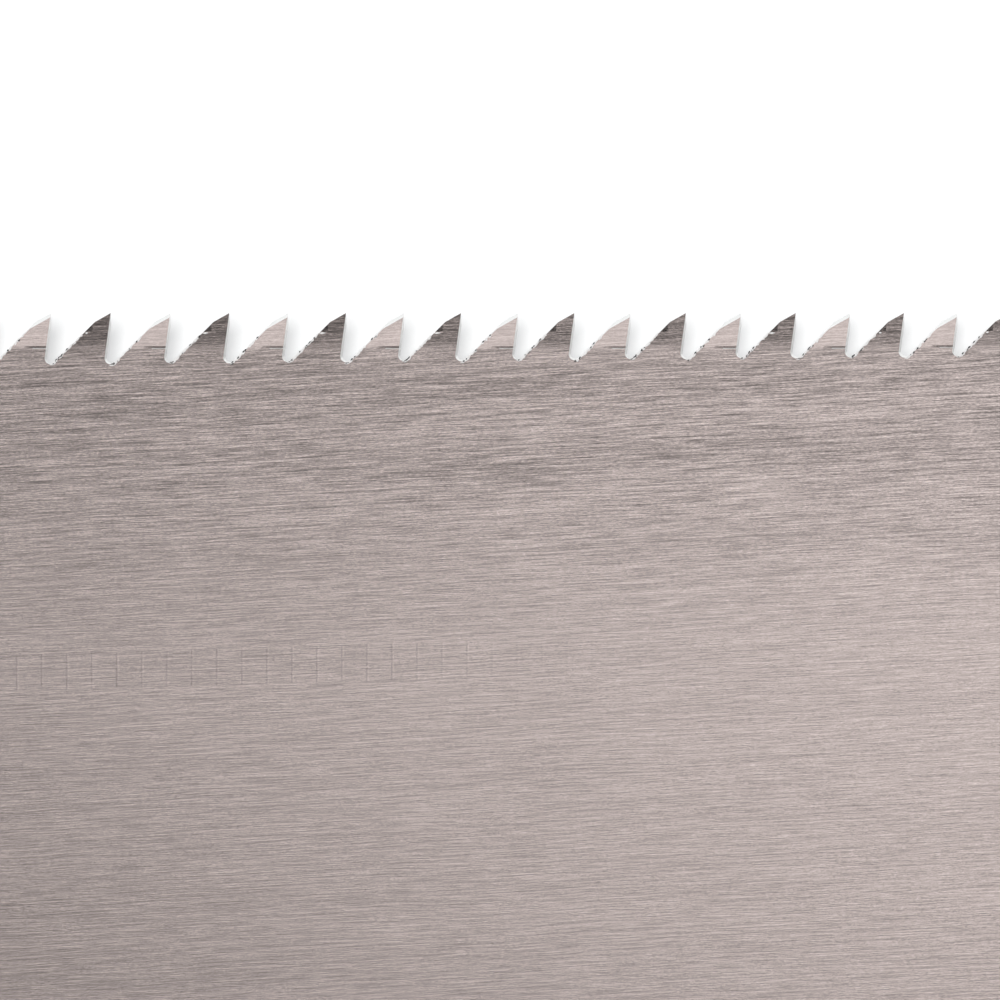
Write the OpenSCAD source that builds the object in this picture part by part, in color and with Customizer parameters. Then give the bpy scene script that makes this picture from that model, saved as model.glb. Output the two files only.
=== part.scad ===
// Ryoba: a two-edged pull saw with a thin exchangeable blade, a riveted steel holder
// and a two-piece wooden handle wound with rattan. It lies flat. The butt of the handle
// points along +X, the ripping edge along +Y, and the underside of the handle is z = 0.

/* [Blade] */
// Length of the toothed part
tooth_len = 240; // [180:5:300]
// Width over the tips of the teeth at the toe
toe_w = 96; // [80:1:130]
// Width over the tips of the teeth at the heel
heel_w = 70; // [64:1:80]
// Thickness of the steel
blade_t = 0.5; // [0.4:0.05:0.9]
// How far the rounded toe stands out past the first teeth
toe_bulge = 6; // [2:0.5:14]
// Depth of the plain step at the corners of the toe
toe_step = 3.4; // [2.6:0.1:6]
// Radius of the hollow shoulders between the heel and the tang
shoulder_r = 24; // [16:1:26]
// Width of the tang
tang_w = 19; // [14:0.5:22]
// Diameter of the hanging hole
hang_d = 5; // [3:0.5:8]
// Distance of the hanging hole from the first teeth
hang_inset = 14; // [8:1:40]

/* [Rip teeth] */
// Pitch of the first tooth at the toe
rip_pitch = 4.2; // [3.6:0.1:5]
// Fall of the pitch for each millimetre of edge
rip_fall = 0.0076; // [0:0.0004:0.008]
// Lean of the front of a tooth towards the handle
rip_rake = 7.7; // [0:0.1:12]
// Slope of the back of a tooth
rip_back = 45; // [42:1:55]
// Slope of the filed point
rip_bevel = 29.4; // [20:0.2:36]
// Length of the filed point
rip_bevel_len = 0.92; // [0.5:0.02:1.2]
// Radius at the bottom of a gullet
rip_gullet_r = 0.33; // [0.15:0.01:0.4]
// Depth of the line along which the teeth are bent
rip_bend = 2.07; // [1.2:0.01:2.2]

/* [Crosscut teeth] */
// Pitch of the teeth
cross_pitch = 1.7; // [1.5:0.05:2.4]
// Slope of the back of a tooth
cross_back = 62; // [55:1:66]
// Slope of the filed point
cross_bevel = 38; // [25:1:45]
// Length of the filed point
cross_bevel_len = 0.6; // [0.3:0.05:0.7]
// Radius at the bottom of a gullet
cross_gullet_r = 0.14; // [0.08:0.01:0.2]
// Depth of the line along which the teeth are bent
cross_bend = 1.5; // [0.8:0.05:1.6]

/* [Set] */
// Sideways set of each tip, to one side and the other in turn
tooth_set = 0.2; // [0:0.02:0.3]

/* [Holder] */
// Length of the holder in front of the ferrule
holder_out = 50; // [46:1:70]
// Length of the holder inside the handle
holder_in = 110; // [108:1:135]
// Thickness of each holder plate
plate_t = 1.2; // [0.8:0.1:2]
// How far the plates stand out past each side of the tang
plate_margin = 1; // [0.5:0.1:3]
// Radius of the two front corners of a plate
plate_corner = 6; // [2:0.5:8]
// Gap between the blade and each plate
blade_gap = 0.05; // [0.03:0.01:0.1]
// Length of the neck that shows in front of the plates
neck_len = 2; // [1:0.5:15]
// Distance of the hook pin from the front of the plates
hook_inset = 31.5; // [30:0.5:34]
// Diameter of the hook pin
hook_d = 5; // [4:0.5:6]
// Distance of the two rivets from the ferrule
rivet_inset = 4.8; // [3.5:0.1:5.5]
// Distance between the two rivets
rivet_gap = 11; // [9:0.5:14]
// Diameter of a rivet's shank
rivet_d = 3; // [2:0.5:3.5]

/* [Lock screw] */
// Distance of the lock screw from the front of the plates
screw_inset = 12.5; // [10:0.5:13]
// Diameter of the shank
screw_d = 4.9; // [4:0.1:5.5]
// Diameter of the head
head_d = 12; // [10:0.5:14]
// Height of the head
head_h = 3.2; // [2.6:0.1:5]
// Width of the coin slot
slot_w = 1.5; // [1:0.1:2.2]
// Depth of the coin slot
slot_depth = 1.4; // [0.8:0.1:2]
// Diameter of the washer
washer_d = 15; // [13:0.5:18]
// Thickness of the washer
washer_t = 1; // [0.6:0.1:1.6]
// Width of the nut across its flats
nut_af = 8; // [7.5:0.5:12]
// Height of the nut
nut_h = 4; // [3:0.5:6]

/* [Handle] */
// Length of the handle
handle_len = 330; // [290:5:380]
// Width of the handle, across the teeth
handle_w = 30; // [28:0.5:34]
// Height of the handle
handle_h = 24; // [22:0.5:30]
// Radius of the long edges
handle_r = 8; // [5:0.5:9]
// Radius of the rounding at the butt
butt_r = 5; // [2:0.5:9]
// Length of the ferrule
ferrule_len = 26; // [18:1:32]
// Thickness of the ferrule's wall
ferrule_t = 0.8; // [0.5:0.1:1.4]
// Distance of the tacks from the mouth of the ferrule
tack_inset = 19; // [10:1:22]
// Length of a tack in the wood
tack_len = 3.5; // [2:0.5:5]
// Diameter of a tack's shank
tack_d = 1.4; // [1:0.1:1.6]
// Diameter of a tack's head
tack_head_d = 2.6; // [2.2:0.1:2.8]
// Height of the tacks above and below the seam
tack_rise = 2.4; // [1.8:0.2:2.8]
// Distance of the first cross pin from the mouth of the ferrule
pin_inset = 60; // [40:1:75]
// Distance between the two cross pins
pin_gap = 40; // [20:1:45]
// Diameter of a cross pin
pin_d = 4; // [2.5:0.5:5]

/* [Rattan wrap] */
// Number of turns
wrap_turns = 24; // [6:1:24]
// Width of the cane
cane_w = 4.1; // [3:0.1:6]
// Thickness of the cane
cane_t = 1.2; // [0.8:0.1:1.8]
// Gap between the turns
cane_gap = 0.5; // [0.45:0.05:1]
// How far the wrap lies below the bare wood
cane_sink = 0.2; // [0.1:0.05:0.5]

/* [Fits] */
// Clearance all round a pin, rivet or tack in its hole
pin_fit = 0.03; // [0.02:0.01:0.05]
// Clearance all round a shank that turns
turn_fit = 0.05; // [0.03:0.01:0.08]
// Clearance beside what moves freely, and under soft cane
free_fit = 0.3; // [0.25:0.05:0.5]
// Clearance round the holder in the ferrule and the handle
bed_fit = 0.05; // [0.03:0.01:0.1]

/* [Hidden] */

steel = [0.70, 0.66, 0.65];
bright = [0.78, 0.78, 0.79];
pale_wood = [0.86, 0.74, 0.55];
cane = [0.80, 0.64, 0.38];

// Places along X, from the middle of the whole saw
saw_len = toe_bulge + tooth_len + shoulder_r + neck_len + holder_out + handle_len;
butt_x = saw_len / 2;
mouth_x = butt_x - handle_len;
front_x = mouth_x - holder_out;
heel_x = front_x - neck_len - shoulder_r;
toe_x = heel_x - tooth_len;
hook_x = front_x + hook_inset;
screw_x = front_x + screw_inset;
holder_end = mouth_x + holder_in;
ferrule_end = mouth_x + ferrule_len;
rivet_x = mouth_x - rivet_inset;
tack_x = mouth_x + tack_inset;
wrap_step = cane_w + cane_gap;
wrap_end = ferrule_end + wrap_turns * wrap_step + cane_w + 2 * free_fit;

// Heights
mid_z = handle_h / 2;
gap_h = blade_t / 2 + blade_gap;
stack_h = gap_h + plate_t;
washer_z = mid_z + stack_h;
head_z = washer_z + washer_t;
nut_z = mid_z - stack_h - nut_h;
core_inset = cane_sink + cane_t + free_fit;

plate_w = tang_w + 2 * plate_margin;
swing_r = hook_inset - screw_inset;
notch_r = screw_d / 2 + free_fit;
taper = atan((toe_w - heel_w) / 2 / tooth_len);

// A row of teeth is one list, read with these places
PITCH = 0;
FALL = 1;
RAKE = 2;
BACK = 3;
BEVEL = 4;
LAND = 5;
ROUND = 6;
BEND = 7;
STEPS = 8;
rip = [rip_pitch, rip_fall, rip_rake, rip_back, rip_bevel, rip_bevel_len, rip_gullet_r, rip_bend, 4];
cross = [cross_pitch, 0, 0, cross_back, cross_bevel, cross_bevel_len, cross_gullet_r, cross_bend, 2];

// Depth of the band of steel that belongs to the teeth, and of the plain edge at the heel
band = 7;
heel_drop = 0.6;
// Where the first back starts, as a share of the first gullet's depth
start_share = 0.9;
// How far behind its tip a tooth's foot lies, as a share of the pitch
foot_share = 0.45;
edge_len = tooth_len / cos(taper);

// Distance of tip i from the toe, with a pitch that falls steadily
function tip_u(t, i) =
    t[FALL] == 0 ? t[PITCH] * (i + 1) : t[PITCH] / t[FALL] * (1 - pow(1 - t[FALL], i + 1));
function pitch_at(t, i) = tip_u(t, i) - (i > 0 ? tip_u(t, i - 1) : 0);
// Length and depth of the filed point of tooth i, which never takes more than its share
function land(t, i) = min(t[LAND], 0.4 * pitch_at(t, i));
function land_drop(t, i) = land(t, i) * tan(t[BEVEL]);
// Number of teeth that fit on the edge and leave room for the last gullet
function tooth_count(t, i = 0) = tip_u(t, i + 1) > edge_len - 1 ? i : tooth_count(t, i + 1);
// Depth at which the front of tooth i and the back of the next would meet
function vee(t, i) =
    (pitch_at(t, i + 1) - land(t, i + 1) + land_drop(t, i + 1) / tan(t[BACK]))
    / (1 / tan(t[BACK]) - tan(t[RAKE]));
// Centre of the round bottom after tooth i, along and across the edge
function round_mid(t, i) =
    let (reach = t[ROUND] / sin((90 - t[RAKE] - t[BACK]) / 2), lean = (90 - t[RAKE] + t[BACK]) / 2)
    [tip_u(t, i) - tan(t[RAKE]) * vee(t, i) + reach * cos(lean), -vee(t, i) + reach * sin(lean)];
// Depth of the bend of tooth i, which stays above the round bottom
function bend_v(t, i) =
    min(t[BEND], 0.95 * (-round_mid(t, i)[1] - t[ROUND] * sin(t[RAKE])));
// Place of the back of tooth i at depth v
function back_u(t, i, v) = tip_u(t, i) - land(t, i) - (v - land_drop(t, i)) / tan(t[BACK]);
// A point of an edge in the saw's own frame; side is 1 on the rip edge and -1 on the other
function on_edge(side, u, v, rise = 0) = [
    toe_x + u * cos(taper) - v * sin(taper),
    side * (toe_w / 2 - u * sin(taper) - v * cos(taper)),
    rise
];
// Tooth i: its back and point, down the front to the bend, and the round bottom after it
function tooth(t, side, i) =
    let (u = tip_u(t, i), bend = bend_v(t, i), m = round_mid(t, i),
        drop = land_drop(t, i), rise = (i % 2 == 0 ? -1 : 1) * tooth_set,
        sweep = 90 + t[BACK] + t[RAKE])
    concat(
        [on_edge(side, back_u(t, i, bend), bend),
         on_edge(side, u - land(t, i), drop, rise * (1 - drop / bend)),
         on_edge(side, u, 0, rise),
         on_edge(side, u - tan(t[RAKE]) * bend, bend)],
        [for (k = [0 : t[STEPS]]) let (a = 180 - t[RAKE] + sweep * k / t[STEPS])
            on_edge(side, m[0] + t[ROUND] * cos(a), -m[1] - t[ROUND] * sin(a))]);
// A whole edge, from the corner of the toe to the heel
function edge_points(t, side, count) = let (start = -start_share * round_mid(t, 0)[1]) concat(
    [[toe_x, side * (toe_w / 2 - toe_step), 0], on_edge(side, back_u(t, 0, start), start)],
    [for (i = [0 : count - 1]) each tooth(t, side, i)],
    [on_edge(side, back_u(t, count, heel_drop), heel_drop),
     [heel_x, side * (heel_w / 2 - heel_drop), 0]]);
// One point under each tooth, at the foot of the band
function foot_points(t, side, count) = [
    for (i = [0 : count]) on_edge(side, tip_u(t, i) - foot_share * pitch_at(t, i), band)];
// Faces of the band of teeth: edge points come first in the list, feet start at place f
function band_faces(count, n, f) =
    let (last = 2 + count * (n + 5))
    concat(
        [[0, 1, f], [1, 2, f]],
        [for (i = [0 : count - 1]) let (s = 2 + i * (n + 5)) each concat(
            [[s, s + 1, s + 2], [s, s + 2, s + 3], [s, s + 3, f + i], [s + 3, s + 4, f + i]],
            [for (k = [0 : n - 1]) [s + 4 + k, s + 5 + k, f + i + (2 * k < n ? 0 : 1)]],
            [[s + 4 + n / 2, f + i + 1, f + i], [s + 4 + n, s + 5 + n, f + i + 1]])],
        [[last, last + 1, f + count]]);
// Faces between two chains of points a and b that run the same way
function lace(p, a, b, i = 0, j = 0) =
    i + 1 == len(a) && j + 1 == len(b) ? []
    : j + 1 == len(b) || (i + 1 < len(a) && p[a[i + 1]][0] <= p[b[j + 1]][0])
        ? concat([[a[i], a[i + 1], b[j]]], lace(p, a, b, i + 1, j))
        : concat([[a[i], b[j + 1], b[j]]], lace(p, a, b, i, j + 1));
function flip(faces) = [for (f = faces) [f[0], f[2], f[1]]];
function shift(faces, by) = [for (f = faces) [for (k = f) k + by]];
function range(from, count) = [for (k = [0 : count - 1]) from + k];

rip_count = tooth_count(rip);
cross_count = tooth_count(cross);

// The toothed plate between toe and heel, with every other tooth bent up or down
module toothed_plate() {
    rip_edge = edge_points(rip, 1, rip_count);
    cross_edge = edge_points(cross, -1, cross_count);
    plan = concat(
        rip_edge, foot_points(rip, 1, rip_count), cross_edge, foot_points(cross, -1, cross_count));
    rip_n = len(rip_edge);
    cross_n = len(cross_edge);
    cross_at = rip_n + rip_count + 1;
    rip_chain = concat([0], range(rip_n, rip_count + 1), [rip_n - 1]);
    cross_chain = concat(
        [cross_at], range(cross_at + cross_n, cross_count + 1), [cross_at + cross_n - 1]);
    top = concat(
        band_faces(rip_count, rip[STEPS], rip_n),
        shift(flip(band_faces(cross_count, cross[STEPS], cross_n)), cross_at),
        lace(plan, rip_chain, cross_chain));
    outline = concat(range(0, rip_n), [for (k = [cross_n - 1 : -1 : 0]) cross_at + k]);
    under = len(plan);
    walls = [
        for (k = [0 : len(outline) - 1])
            let (a = outline[k], b = outline[(k + 1) % len(outline)])
            each [[a, a + under, b + under], [a, b + under, b]]];
    polyhedron(
        concat([for (q = plan) q + [0, 0, blade_t / 2]], [for (q = plan) q - [0, 0, blade_t / 2]]),
        concat(top, shift(flip(top), under), walls));
}

// The rounded end of the blade, past the first teeth
module toe() {
    half = toe_w / 2 - toe_step;
    r = (half * half + toe_bulge * toe_bulge) / 2 / toe_bulge;
    intersection() {
        translate([toe_x - toe_bulge + r, 0, -blade_t / 2]) cylinder(r = r, h = blade_t, $fn = 180);
        translate([toe_x - 2 * toe_bulge, -toe_w, -blade_t]) cube([2 * toe_bulge, 2 * toe_w, 2 * blade_t]);
    }
}

// Shoulders and tang, with the open hook slot and the curved notch that lets the screw out
module tang() {
    half = heel_w / 2 - heel_drop;
    neck_x = heel_x + shoulder_r;
    cut_h = 4 * blade_t;
    slot_r = hook_d / 2 + turn_fit;
    difference() {
        translate([0, 0, -blade_t / 2]) union() {
            translate([heel_x, -half, 0]) cube([shoulder_r, 2 * half, blade_t]);
            translate([neck_x, -tang_w / 2, 0]) cube([hook_x - neck_x, tang_w, blade_t]);
            translate([hook_x, 0, 0]) cylinder(d = tang_w, h = blade_t, $fn = 64);
        }
        for (s = [-1, 1]) translate([neck_x, s * (tang_w / 2 + shoulder_r), -cut_h / 2])
            cylinder(r = shoulder_r, h = cut_h, $fn = 96);
        translate([hook_x, 0, -cut_h / 2]) cylinder(r = slot_r, h = cut_h, $fn = 48);
        translate([hook_x, -slot_r, -cut_h / 2]) cube([tang_w, 2 * slot_r, cut_h]);
        translate([screw_x, 0, -cut_h / 2]) cylinder(r = notch_r, h = cut_h, $fn = 48);
        intersection() {
            translate([hook_x, 0, -cut_h / 2]) difference() {
                cylinder(r = swing_r + notch_r, h = cut_h, $fn = 96);
                translate([0, 0, -cut_h]) cylinder(r = swing_r - notch_r, h = 3 * cut_h, $fn = 96);
            }
            translate([front_x, 0, -cut_h]) cube([hook_inset - hook_d, tang_w, 2 * cut_h]);
        }
    }
}

module blade() {
    color(steel) translate([0, 0, mid_z]) difference() {
        union() {
            toothed_plate();
            toe();
            tang();
        }
        translate([toe_x + hang_inset, 0, -blade_t]) cylinder(d = hang_d, h = 2 * blade_t, $fn = 48);
    }
}

// Holes through the holder: hook pin, two rivets and two cross pins
module holder_holes(h, hook) {
    translate([0, 0, -h / 2]) {
        if (hook) translate([hook_x, 0, 0]) cylinder(r = hook_d / 2 + pin_fit, h = h, $fn = 48);
        for (s = [-1, 1]) translate([rivet_x, s * rivet_gap / 2, 0])
            cylinder(r = rivet_d / 2 + pin_fit, h = h, $fn = 48);
        for (k = [0, 1]) translate([mouth_x + pin_inset + k * pin_gap, 0, 0])
            cylinder(r = pin_d / 2 + pin_fit, h = h, $fn = 48);
    }
}

// One pressed plate of the holder, with its front corners rounded
module holder_plate(z, screw_r) {
    color(bright) translate([0, 0, z]) difference() {
        union() {
            translate([front_x + plate_corner, -plate_w / 2, 0])
                cube([holder_end - front_x - plate_corner, plate_w, plate_t]);
            translate([front_x, plate_corner - plate_w / 2, 0])
                cube([2 * plate_corner, plate_w - 2 * plate_corner, plate_t]);
            for (s = [-1, 1]) translate([front_x + plate_corner, s * (plate_w / 2 - plate_corner), 0])
                cylinder(r = plate_corner, h = plate_t, $fn = 48);
        }
        holder_holes(4 * plate_t, true);
        translate([screw_x, 0, -plate_t]) cylinder(r = screw_r, h = 3 * plate_t, $fn = 48);
    }
}

module holder_plate_upper() {
    holder_plate(mid_z + gap_h, screw_d / 2 + free_fit);
}

module holder_plate_lower() {
    holder_plate(mid_z - stack_h, screw_d / 2 + free_fit);
}

// The strip that keeps the plates apart, hollowed where the tang swings
module holder_spacer() {
    start_x = hook_x + tang_w / 2 - plate_margin;
    color(bright) translate([0, 0, mid_z - gap_h]) difference() {
        translate([start_x, -plate_w / 2, 0]) cube([holder_end - start_x, plate_w, 2 * gap_h]);
        translate([hook_x, 0, -gap_h]) cylinder(r = tang_w / 2 + free_fit, h = 4 * gap_h, $fn = 96);
        holder_holes(8 * gap_h, false);
    }
}

// A pin along Z with a low head at both ends of its grip
module headed_pin(d, grip, wide, head) {
    rotate_extrude($fn = 48) polygon([
        [0, -grip / 2 - head], [wide * 0.3, -grip / 2 - head], [wide / 2, -grip / 2 - head * 0.4],
        [wide / 2, -grip / 2], [d / 2, -grip / 2], [d / 2, grip / 2], [wide / 2, grip / 2],
        [wide / 2, grip / 2 + head * 0.4], [wide * 0.3, grip / 2 + head], [0, grip / 2 + head]
    ]);
}

module hook_pin() {
    color(bright) translate([hook_x, 0, mid_z]) headed_pin(hook_d, 2 * stack_h, hook_d + 2.4, 0.7);
}

module holder_rivets() {
    color(bright) for (s = [-1, 1]) translate([rivet_x, s * rivet_gap / 2, mid_z])
        headed_pin(rivet_d, 2 * stack_h, rivet_d + 1.8, 0.9);
}

// Six-sided nut, welded under the lower plate
module lock_nut() {
    color(bright) translate([screw_x, 0, nut_z]) difference() {
        cylinder(d = nut_af / cos(30), h = nut_h, $fn = 6);
        translate([0, 0, -1]) cylinder(r = screw_d / 2 + turn_fit, h = nut_h + 2, $fn = 48);
    }
}

// Washer that stays under the head and rises with the screw
module lock_washer() {
    color(bright) translate([screw_x, 0, washer_z]) difference() {
        cylinder(d = washer_d, h = washer_t, $fn = 64);
        translate([0, 0, -1]) cylinder(r = screw_d / 2 + turn_fit, h = washer_t + 2, $fn = 48);
    }
}

// Low-headed screw with a slot for a coin
module lock_screw() {
    tip_z = nut_z - 0.5 - head_z;
    color(bright) translate([screw_x, 0, head_z]) difference() {
        rotate_extrude($fn = 64) polygon([
            [0, tip_z], [screw_d / 2 - 0.5, tip_z], [screw_d / 2, tip_z + 0.5], [screw_d / 2, 0],
            [head_d / 2, 0], [head_d / 2, head_h * 0.6], [head_d / 2 - head_h * 0.4, head_h], [0, head_h]
        ]);
        translate([-head_d, -slot_w / 2, head_h - slot_depth]) cube([2 * head_d, slot_w, 2 * slot_depth]);
    }
}

// Cross-section of the handle, drawn in by d on every side
module section(d) {
    r = handle_r - d;
    union() {
        square([handle_w - 2 * handle_r, handle_h - 2 * d], center = true);
        square([handle_w - 2 * d, handle_h - 2 * handle_r], center = true);
        for (y = [-1, 1], z = [-1, 1])
            translate([y * (handle_w / 2 - handle_r), z * (handle_h / 2 - handle_r)])
                circle(r = r, $fn = 64);
    }
}

// A length of that section along X, from x1 to x2
module bar(x1, x2, d) {
    translate([x1, 0, mid_z]) rotate([90, 0, 90]) linear_extrude(x2 - x1) section(d);
}

// Holes for the tacks, and the tacks themselves, at the four places
module at_tacks() {
    for (y = [-1, 1], z = [-1, 1])
        translate([tack_x, y * handle_w / 2, mid_z + z * tack_rise]) rotate([-90 * y, 0, 0]) children();
}

// Pressed steel cap that keeps the two halves of the handle together
module ferrule() {
    slot_h = 2 * (stack_h + bed_fit);
    color(bright) difference() {
        bar(mouth_x, ferrule_end, 0);
        bar(mouth_x + ferrule_t, ferrule_end + 1, ferrule_t);
        translate([mouth_x - 1, -plate_w / 2 - bed_fit, mid_z - slot_h / 2])
            cube([ferrule_t + 2, plate_w + 2 * bed_fit, slot_h]);
        at_tacks() translate([0, 0, -2 * ferrule_t])
            cylinder(r = tack_d / 2 + pin_fit, h = 3 * ferrule_t, $fn = 32);
    }
}

module ferrule_tacks() {
    r = tack_d / 2;
    head_r = tack_head_d / 2;
    tip_z = -ferrule_t - tack_len;
    color(bright) at_tacks() rotate_extrude($fn = 32) polygon([
        [0, tip_z], [r, tip_z + tack_d], [r, 0],
        [head_r, 0], [0.9 * head_r, 0.25], [0.5 * head_r, 0.5], [0, 0.55]
    ]);
}

// The wooden core with its seat for the ferrule, its sunk length for the cane and its round butt
module handle_wood() {
    intersection() {
        union() {
            bar(mouth_x + ferrule_t, ferrule_end, ferrule_t + bed_fit);
            bar(ferrule_end, wrap_end, core_inset);
            bar(wrap_end, butt_x, 0);
        }
        rounded_butt(handle_w, handle_h);
        translate([0, handle_w, mid_z]) rotate([90, 0, 0]) rounded_butt(handle_h, 2 * handle_w);
    }
}

// A flat outline with two rounded corners at the butt, width w, extruded upwards by h
module rounded_butt(w, h) {
    linear_extrude(h) union() {
        translate([mouth_x, -w / 2]) square([handle_len - butt_r, w]);
        translate([mouth_x, butt_r - w / 2]) square([handle_len, w - 2 * butt_r]);
        for (s = [-1, 1]) translate([butt_x - butt_r, s * (w / 2 - butt_r)]) circle(r = butt_r, $fn = 48);
    }
}

// One half of the handle: side is 1 above the seam and -1 below it
module handle_half(side) {
    bed = stack_h + bed_fit;
    color(pale_wood) difference() {
        intersection() {
            handle_wood();
            translate([mouth_x, -handle_w, side > 0 ? mid_z : -1])
                cube([handle_len + 1, 2 * handle_w, side > 0 ? handle_h : mid_z + 1]);
        }
        translate([mouth_x, -plate_w / 2 - bed_fit, mid_z - bed])
            cube([holder_in + bed_fit, plate_w + 2 * bed_fit, 2 * bed]);
        for (k = [0, 1]) translate([mouth_x + pin_inset + k * pin_gap, 0, -1])
            cylinder(r = pin_d / 2 + pin_fit, h = handle_h + 2, $fn = 48);
        at_tacks() translate([0, 0, -ferrule_t - tack_len - free_fit])
            cylinder(r = tack_d / 2 + pin_fit, h = tack_len + 1, $fn = 32);
    }
}

module handle_half_upper() {
    handle_half(1);
}

module handle_half_lower() {
    handle_half(-1);
}

// Two pins through both halves and the holder, cut off flush under the cane
module handle_pins() {
    color(bright) for (k = [0, 1]) translate([mouth_x + pin_inset + k * pin_gap, 0, core_inset])
        cylinder(d = pin_d, h = handle_h - 2 * core_inset, $fn = 48);
}

// One turn of the cane round the core, as [place, outward direction], from the middle of the
// underside: at each quarter the middle of a flat, then five points of the next corner
cane_in = core_inset - free_fit;
cane_r = handle_r - cane_in;
flat_y = handle_w / 2 - handle_r;
flat_z = handle_h / 2 - handle_r;
function flat_mid(a) =
    [[cos(a) * (handle_w / 2 - cane_in), sin(a) * (handle_h / 2 - cane_in)], [cos(a), sin(a)]];
function corner_at(a, y, z) = [[y * flat_y, z * flat_z] + cane_r * [cos(a), sin(a)], [cos(a), sin(a)]];
loop = [
    for (q = [0 : 3]) let (a0 = 90 * q - 90, y = q < 2 ? 1 : -1, z = q == 1 || q == 2 ? 1 : -1)
        each concat([flat_mid(a0)], [for (k = [0 : 4]) corner_at(a0 + 22.5 * k, y, z)])];
loop_n = len(loop);
// Length along the turn up to point k
function loop_len(k) = k == 0 ? 0 : loop_len(k - 1) + norm(loop[k % loop_n][0] - loop[k - 1][0]);
loop_share = [for (k = [0 : loop_n]) loop_len(k) / loop_len(loop_n)];
// Outline of the cane, across its width and out of the wood: flat below and domed above
strand = [
    [-0.42 * cane_w, 0], [0.42 * cane_w, 0], [0.5 * cane_w, 0.45 * cane_t],
    [0.3 * cane_w, cane_t], [-0.3 * cane_w, cane_t], [-0.5 * cane_w, 0.45 * cane_t]
];
strand_n = len(strand);
rings = wrap_turns * loop_n + 1;
wrap_x = ferrule_end + free_fit + cane_w / 2;
function ring_x(k) = wrap_x + wrap_step * (floor(k / loop_n) + loop_share[k % loop_n]);
function ring(k) = let (l = loop[k % loop_n]) [
    for (s = strand)
        let (at = l[0] + s[1] * l[1]) [ring_x(k) + s[0], at[0], mid_z + at[1]]];
turns = [for (k = [0 : rings - 1]) ring(k)];
least_gap = min([
    for (k = [0 : rings - loop_n - 2], d = [0, 1])
        norm(turns[k + loop_n + d][5] - turns[k][2])]);
echo(str("Least gap between two turns of cane: ", least_gap, " mm"));

module rattan_wrap() {
    n = strand_n;
    color(cane) polyhedron(
        [for (r = turns) each r],
        concat(
            [for (k = [1 : n - 2]) [0, k, k + 1]],
            [for (k = [1 : n - 2]) [0, k + 1, k] + [1, 1, 1] * (rings - 1) * n],
            [for (r = [0 : rings - 2], k = [0 : n - 1])
                let (a = r * n + k, b = r * n + (k + 1) % n)
                each [[a, a + n, b + n], [a, b + n, b]]]));
}

blade();
holder_plate_upper();
holder_plate_lower();
holder_spacer();
hook_pin();
holder_rivets();
lock_nut();
lock_washer();
lock_screw();
ferrule();
ferrule_tacks();
handle_half_upper();
handle_half_lower();
handle_pins();
rattan_wrap();
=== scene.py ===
import math
import random

import bmesh
import bpy
import numpy as np
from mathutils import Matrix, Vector
from mathutils.geometry import delaunay_2d_cdt


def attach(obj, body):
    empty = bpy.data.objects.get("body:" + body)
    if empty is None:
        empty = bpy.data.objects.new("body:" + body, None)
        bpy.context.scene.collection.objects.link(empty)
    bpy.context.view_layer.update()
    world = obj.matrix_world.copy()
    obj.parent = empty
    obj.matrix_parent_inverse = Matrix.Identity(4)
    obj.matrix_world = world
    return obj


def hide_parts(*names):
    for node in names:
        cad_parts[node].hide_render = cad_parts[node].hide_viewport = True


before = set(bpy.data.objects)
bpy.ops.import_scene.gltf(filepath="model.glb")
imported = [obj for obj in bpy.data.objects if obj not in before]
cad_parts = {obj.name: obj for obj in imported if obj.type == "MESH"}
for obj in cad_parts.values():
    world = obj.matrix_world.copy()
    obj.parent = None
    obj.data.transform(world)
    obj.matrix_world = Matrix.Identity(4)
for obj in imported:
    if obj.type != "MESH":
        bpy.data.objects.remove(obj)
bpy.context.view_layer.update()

# Camera and view
# A long lens high above the ripping edge, turned by half the taper of the blade so that the
# line of the tooth tips lies level in the picture, as it does in the photograph.
MM = 0.001
tooth_len, toe_w, heel_w, blade_z = 240.0, 96.0, 70.0, 12.0
taper = math.atan((toe_w - heel_w) / 2 / tooth_len)
view_middle = Vector((-198.8, 30.6, 12.25)) * MM
view_width = 57.88 * MM
camera_rise = 1.8


def put_in_scene(name, data):
    thing = bpy.data.objects.new(name, data)
    bpy.context.scene.collection.objects.link(thing)
    return thing


lens_data = bpy.data.cameras.new("view_camera")
lens_data.sensor_width = 36
lens_data.lens = lens_data.sensor_width * camera_rise / view_width
lens_data.clip_start, lens_data.clip_end = 0.02, 60
view_camera = put_in_scene("view_camera", lens_data)
view_camera.location = view_middle + Vector((0, 0, camera_rise))
view_camera.rotation_euler = (0, 0, -taper)
bpy.context.scene.camera = view_camera
bpy.context.scene.view_settings.view_transform = "Standard"


# Blade, its rule
# One sheet of tempered steel, 0.5 mm thick, with long ripping teeth on one edge and fine
# crosscut teeth on the other. A tooth is a filed point above the line where it is bent.
# Lengths are in millimetres and angles in degrees; fall is the share by which the pitch shrinks.
half_t, tooth_set, merge_gap = 0.25, 0.2, 0.0015
rip = {"first": 4.2, "fall": 0.0076, "rake": 7.7, "back": 45.0, "bevel": 29.4, "point": 0.92,
       "round": 0.33, "bend": 2.07, "arc": 8, "side": 1, "across": 8,
       "filed": (0.20, 0.07), "flare": 0.13, "stoned": 0.56}
cross = {"first": 1.7, "fall": 0.0, "rake": 0.0, "back": 62.0, "bevel": 38.0, "point": 0.6,
         "round": 0.14, "bend": 1.5, "arc": 4, "side": -1, "across": 3,
         "filed": (0.12, 0.06), "flare": 0.06, "stoned": 0.0}
toe_x, toe_drop, toe_bow = -320.0, 3.4, 6.0
heel_x, heel_drop = -80.0, 0.6
hang_x, hang_r, hang_steps = -306, 2.5, 40
hook_x, screw_x = -22.5, -41.5


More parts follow.
